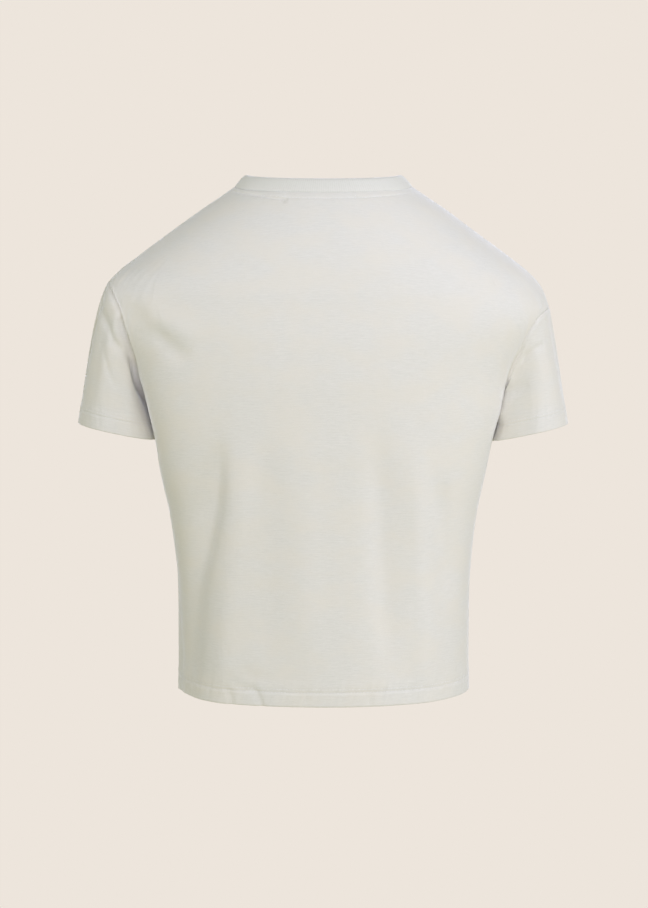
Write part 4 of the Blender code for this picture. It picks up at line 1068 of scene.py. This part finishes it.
line, line_out = neck_ring(fine), neck_ring(fine_out)
line_out[0] = ridge_outward(fine["back"], NECK_FINE[0])
line_out[2 * NECK_COLS] = ridge_outward(fine["back"], NECK_FINE[1])
count = len(line)
runs = unit(np.roll(line, -1, axis=0) - np.roll(line, 1, axis=0))
turns = np.arange(count) / count
inward = unit(np.stack([-line[:, 0], BAND_CENTRE_Y - line[:, 1], np.zeros(count)], axis=1))
frontness = 0.5 - 0.5 * np.sin(2 * np.pi * turns)
lift = np.radians(BAND_LIFT[0] + BAND_LIFT[1] * abs(np.sin(2 * np.pi * turns))
                  + BAND_LIFT[2] * frontness ** 2)[:, None]
band_up = inward * np.cos(lift) + np.array([0, 0, 1]) * np.sin(lift)
flat_line = line * np.array([1, 1, 0])
band_out = unit(np.cross(band_up, runs))
band_out *= np.sign((band_out * flat_line).sum(axis=1, keepdims=True))
panel_out = unit(line_out - runs * (line_out * runs).sum(axis=1, keepdims=True))
neck_out = unit(panel_out + band_out)
neck_across = unit(np.cross(neck_out, runs))
neck_across *= np.sign((neck_across * band_up).sum(axis=1, keepdims=True))
girth = np.linalg.norm(np.roll(line, -1, axis=0) - line, axis=1).sum()
ribs = round(girth / RIB_PITCH)
around = np.arange(ribs * RIB_PARTS) / (ribs * RIB_PARTS)
step_run = np.concatenate([[0], np.cumsum(np.linalg.norm(np.roll(line, -1, axis=0) - line, axis=1))])
at = np.interp(around * step_run[-1], step_run, np.arange(count + 1))
side_necks = [(0, np.ones((1,))), (2 * NECK_COLS, np.ones((1,))), (count, np.ones((1,)))]
base = wrap_refine(line, at, count, side_necks)
ups = unit(wrap_refine(band_up, at, count, []))
faces_out = unit(wrap_refine(band_out, at, count, []))
seam_out = unit(wrap_refine(neck_out, at, count, []))
# away from its seam the band runs round the side necks in a soft curve
spread = np.exp(-(np.minimum(around, 1 - around) * girth / BAND_SOFTEN) ** 2)
spread /= spread.sum()
soft = np.fft.ifft(np.fft.fft(base, axis=0) * np.fft.fft(spread)[:, None], axis=0).real
profile = []             # (share of the height, place through the cloth: 0 outer, 1 inner)
for i in range(BAND_UP_ROWS + 1):
    profile.append((i / BAND_UP_ROWS * 0.95, 0.0))
for i in range(1, BAND_FOLD_ROWS):
    a = math.pi * i / BAND_FOLD_ROWS
    profile.append((0.95 + 0.05 * math.sin(a), 0.5 - 0.5 * math.cos(a)))
for i in range(BAND_UP_ROWS + 1):
    profile.append(((1 - i / BAND_UP_ROWS) * 0.95, 1.0))
columns = np.arange(len(around))
wave = np.abs(np.cos(np.pi * columns / RIB_PARTS)) ** 0.8 - 0.5
rows = []
for t, through in profile:
    swell = BAND_SWELL * 4 * t * (1 - t)
    blend = smoothstep(0.0, 0.25, t)
    out = unit(seam_out * (1 - blend) + faces_out * blend)
    seam_dip = NECK_SEAM * SEAM_DIP * math.exp(-(t * BAND_HEIGHT / SEAM_DIP_HALF) ** 2)
    rib = RIB_HEIGHT * wave * (1 - 0.6 * math.exp(-(t * BAND_HEIGHT / 0.002) ** 2))
    face_way = 1 - 2 * through
    ease = smoothstep(0.1, 0.9, t)
    roll = BAND_ROLL * smoothstep(0.72, 1.0, t) ** 2
    rows.append(base * (1 - ease) + soft * ease + ups * BAND_HEIGHT * t - faces_out * roll + seam_out * swell
                + out * (-BAND_CLOTH * through - seam_dip * (1 - through) + rib * face_way)[:, None])
ring = np.array(rows)
band_rows, band_cols, _ = ring.shape
i, j = np.meshgrid(np.arange(band_rows), np.arange(band_cols), indexing="ij")
next_i, next_j = (i + 1) % band_rows, (j + 1) % band_cols
quads = np.stack([i * band_cols + j, i * band_cols + next_j,
                  next_i * band_cols + next_j, next_i * band_cols + j], axis=-1).reshape(-1, 4)
run_up = np.concatenate([[0], np.cumsum(np.linalg.norm(np.diff(ring[:, 0], axis=0), axis=1))])
band_u = np.concatenate([around, [1.0]]) * girth
band_v = np.concatenate([run_up, [run_up[-1] + BAND_CLOTH]])
uv_u = np.stack([band_u[j], band_u[j + 1], band_u[j + 1], band_u[j]], axis=-1)
uv_v = np.stack([band_v[i], band_v[i], band_v[i + 1], band_v[i + 1]], axis=-1)
band_mesh = bpy.data.meshes.new("neckband_rib")
band_mesh.from_pydata(ring.reshape(-1, 3).tolist(), [], quads[:, ::-1].tolist())
grain = band_mesh.uv_layers.new(name="grain")
grain.data.foreach_set("uv", np.stack([uv_u, uv_v], axis=-1).reshape(-1, 4, 2)[:, ::-1]
                       .astype(np.float32).ravel())
band_mesh.polygons.foreach_set("use_smooth", np.arange(len(quads)) < len(quads) - band_cols)
neckband = placed("neckband_rib", band_mesh)


def rib_knit(name, pale, shade):
    """One-by-one rib in the same cotton: matte, with painted shade that darkens the hollows between
    the wales, its loops 0.8 mm high."""
    material, tree = blank_material(name)
    grain = node(tree, "ShaderNodeUVMap", uv_map="grain")
    mm = node(tree, "ShaderNodeMapping", {"Vector": grain.outputs[0], "Scale": (1000, 1000, 1000)})
    part = node(tree, "ShaderNodeSeparateXYZ", {0: mm.outputs[0]})
    # painted shade: the colour runs from pale on each wale's crest to darker in the hollows between the
    # wales, with random patches mixed in
    turns = node(tree, "ShaderNodeMath", {0: part.outputs[0], 1: math.pi / (girth / ribs * 1000)},
                 operation="MULTIPLY")
    wave = node(tree, "ShaderNodeMath", {0: turns.outputs[0]}, operation="COSINE")
    painted_rib_shade_mask = node(tree, "ShaderNodeMath", {0: wave.outputs[0]}, operation="ABSOLUTE")
    patchy = node(tree, "ShaderNodeTexNoise", {"Vector": mm.outputs[0], "Scale": 0.35, "Detail": 3.0})
    shown = node(tree, "ShaderNodeMath", {0: painted_rib_shade_mask.outputs[0], 1: 0.5, 2: patchy.outputs[0]},
                 operation="MULTIPLY_ADD")
    spread = node(tree, "ShaderNodeMapRange", {0: shown.outputs[0], 1: 0.45, 2: 0.95, 3: 0.0, 4: 1.0})
    cloth = node(tree, "ShaderNodeMix", {0: spread.outputs[0], 6: linear(shade), 7: linear(pale)},
                 data_type="RGBA")
    loops = node(tree, "ShaderNodeMath", {0: part.outputs[1], 1: 2 * math.pi / 0.8}, operation="MULTIPLY")
    rows = node(tree, "ShaderNodeMath", {0: loops.outputs[0]}, operation="SINE")
    bump = node(tree, "ShaderNodeBump", {"Strength": 0.25, "Distance": 0.00008, "Height": rows.outputs[0]})
    matte_cotton(tree, cloth.outputs[2], bump)
    return material


# the darker of the two colours is the painted shade in the hollows between the wales
neckband.data.materials.append(rib_knit("off_white_cotton_rib", "#D9D7CA", "#D3D1C3"))
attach(neckband, "root")
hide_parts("neckband")


# ================================================================ studio
# A pale beige room with no edge in view. Three wide soft lamps light the back, from behind the
# camera, from the right and from high on the left; a weaker one stands on the front's side.
STUDIO, ROOM_LIGHT, FLOOR_LIGHT = "#EDE5DC", 0.20, 0.5
LAMP_COLOUR = (1.0, 1.01, 1.335)          # cool daylight tubes
WALL_TINT, FLOOR_TINT = (0.95, 1.02, 0.36, 1), (0.80, 0.79, 0.36, 1)     # what the room gives back
FLOOR_Z = -1.45
LAMP_SIZE = 2.0
# name, place, watts
LAMPS = [
    ("camera_lamp", (0.0, 3.8, 0.2), 89.5),
    ("right_lamp", (-3.5, 0.5, 0.8), 73),
    ("high_left_lamp", (2.2, 1.2, 3.0), 46),
    ("front_lamp", (-0.8, -3.8, 0.6), 50),
]
GARMENT_CENTRE = Vector((0.0, 0.0, -0.27))


def room_colour(tree, shader, tint, light):
    """The room's colour at full strength as the camera sees it, and dimmer as it lights the cloth."""
    path = node(tree, "ShaderNodeLightPath")
    seen = node(tree, shader, {"Color": linear(STUDIO), "Strength": 1.0})
    lit = node(tree, shader, {"Color": tint, "Strength": light})
    return node(tree, "ShaderNodeMixShader", {0: path.outputs["Is Camera Ray"], 1: lit.outputs[0],
                                              2: seen.outputs[0]})


floor_mesh = bpy.data.meshes.new("floor")
floor_mesh.from_pydata([(-30, -30, FLOOR_Z), (30, -30, FLOOR_Z), (30, 30, FLOOR_Z), (-30, 30, FLOOR_Z)],
                       [], [(0, 1, 2, 3)])
floor_paint, tree = blank_material("matte_beige_floor_paint")
paint = room_colour(tree, "ShaderNodeEmission", FLOOR_TINT, FLOOR_LIGHT)
node(tree, "ShaderNodeOutputMaterial", {"Surface": paint.outputs[0]})
floor_mesh.materials.append(floor_paint)
placed("floor", floor_mesh)

world = bpy.data.worlds.new("beige_room")
bpy.context.scene.world = world
world.use_nodes = True
world.node_tree.nodes.clear()
air = room_colour(world.node_tree, "ShaderNodeBackground", WALL_TINT, ROOM_LIGHT)
node(world.node_tree, "ShaderNodeOutputWorld", {"Surface": air.outputs[0]})

for name, place, watts in LAMPS:
    lamp = bpy.data.lights.new(name, "AREA")
    lamp.shape, lamp.size, lamp.energy, lamp.color = "DISK", LAMP_SIZE, watts, LAMP_COLOUR
    thing = placed(name, lamp)
    thing.location = place
    thing.rotation_euler = (GARMENT_CENTRE - Vector(place)).to_track_quat("-Z", "Y").to_euler()


# ================================================================ camera
# A portrait lens 3 m behind the wearer, a little above the middle of the top and turned down to it.
CAMERA_DISTANCE, CAMERA_ELEVATION, CAMERA_LENS = 3.0, 5.9, 115.48
CAMERA_TARGET = Vector((0.001, 0.0, -0.2724))
camera_data = bpy.data.cameras.new("camera")
camera_data.lens, camera_data.sensor_width = CAMERA_LENS, 36.0
camera = placed("camera", camera_data)
rise = math.radians(CAMERA_ELEVATION)
camera.location = CAMERA_TARGET + CAMERA_DISTANCE * Vector((0, math.cos(rise), math.sin(rise)))
camera.rotation_euler = (CAMERA_TARGET - camera.location).to_track_quat("-Z", "Y").to_euler()
bpy.context.scene.camera = camera
bpy.context.scene.view_settings.view_transform = "Standard"
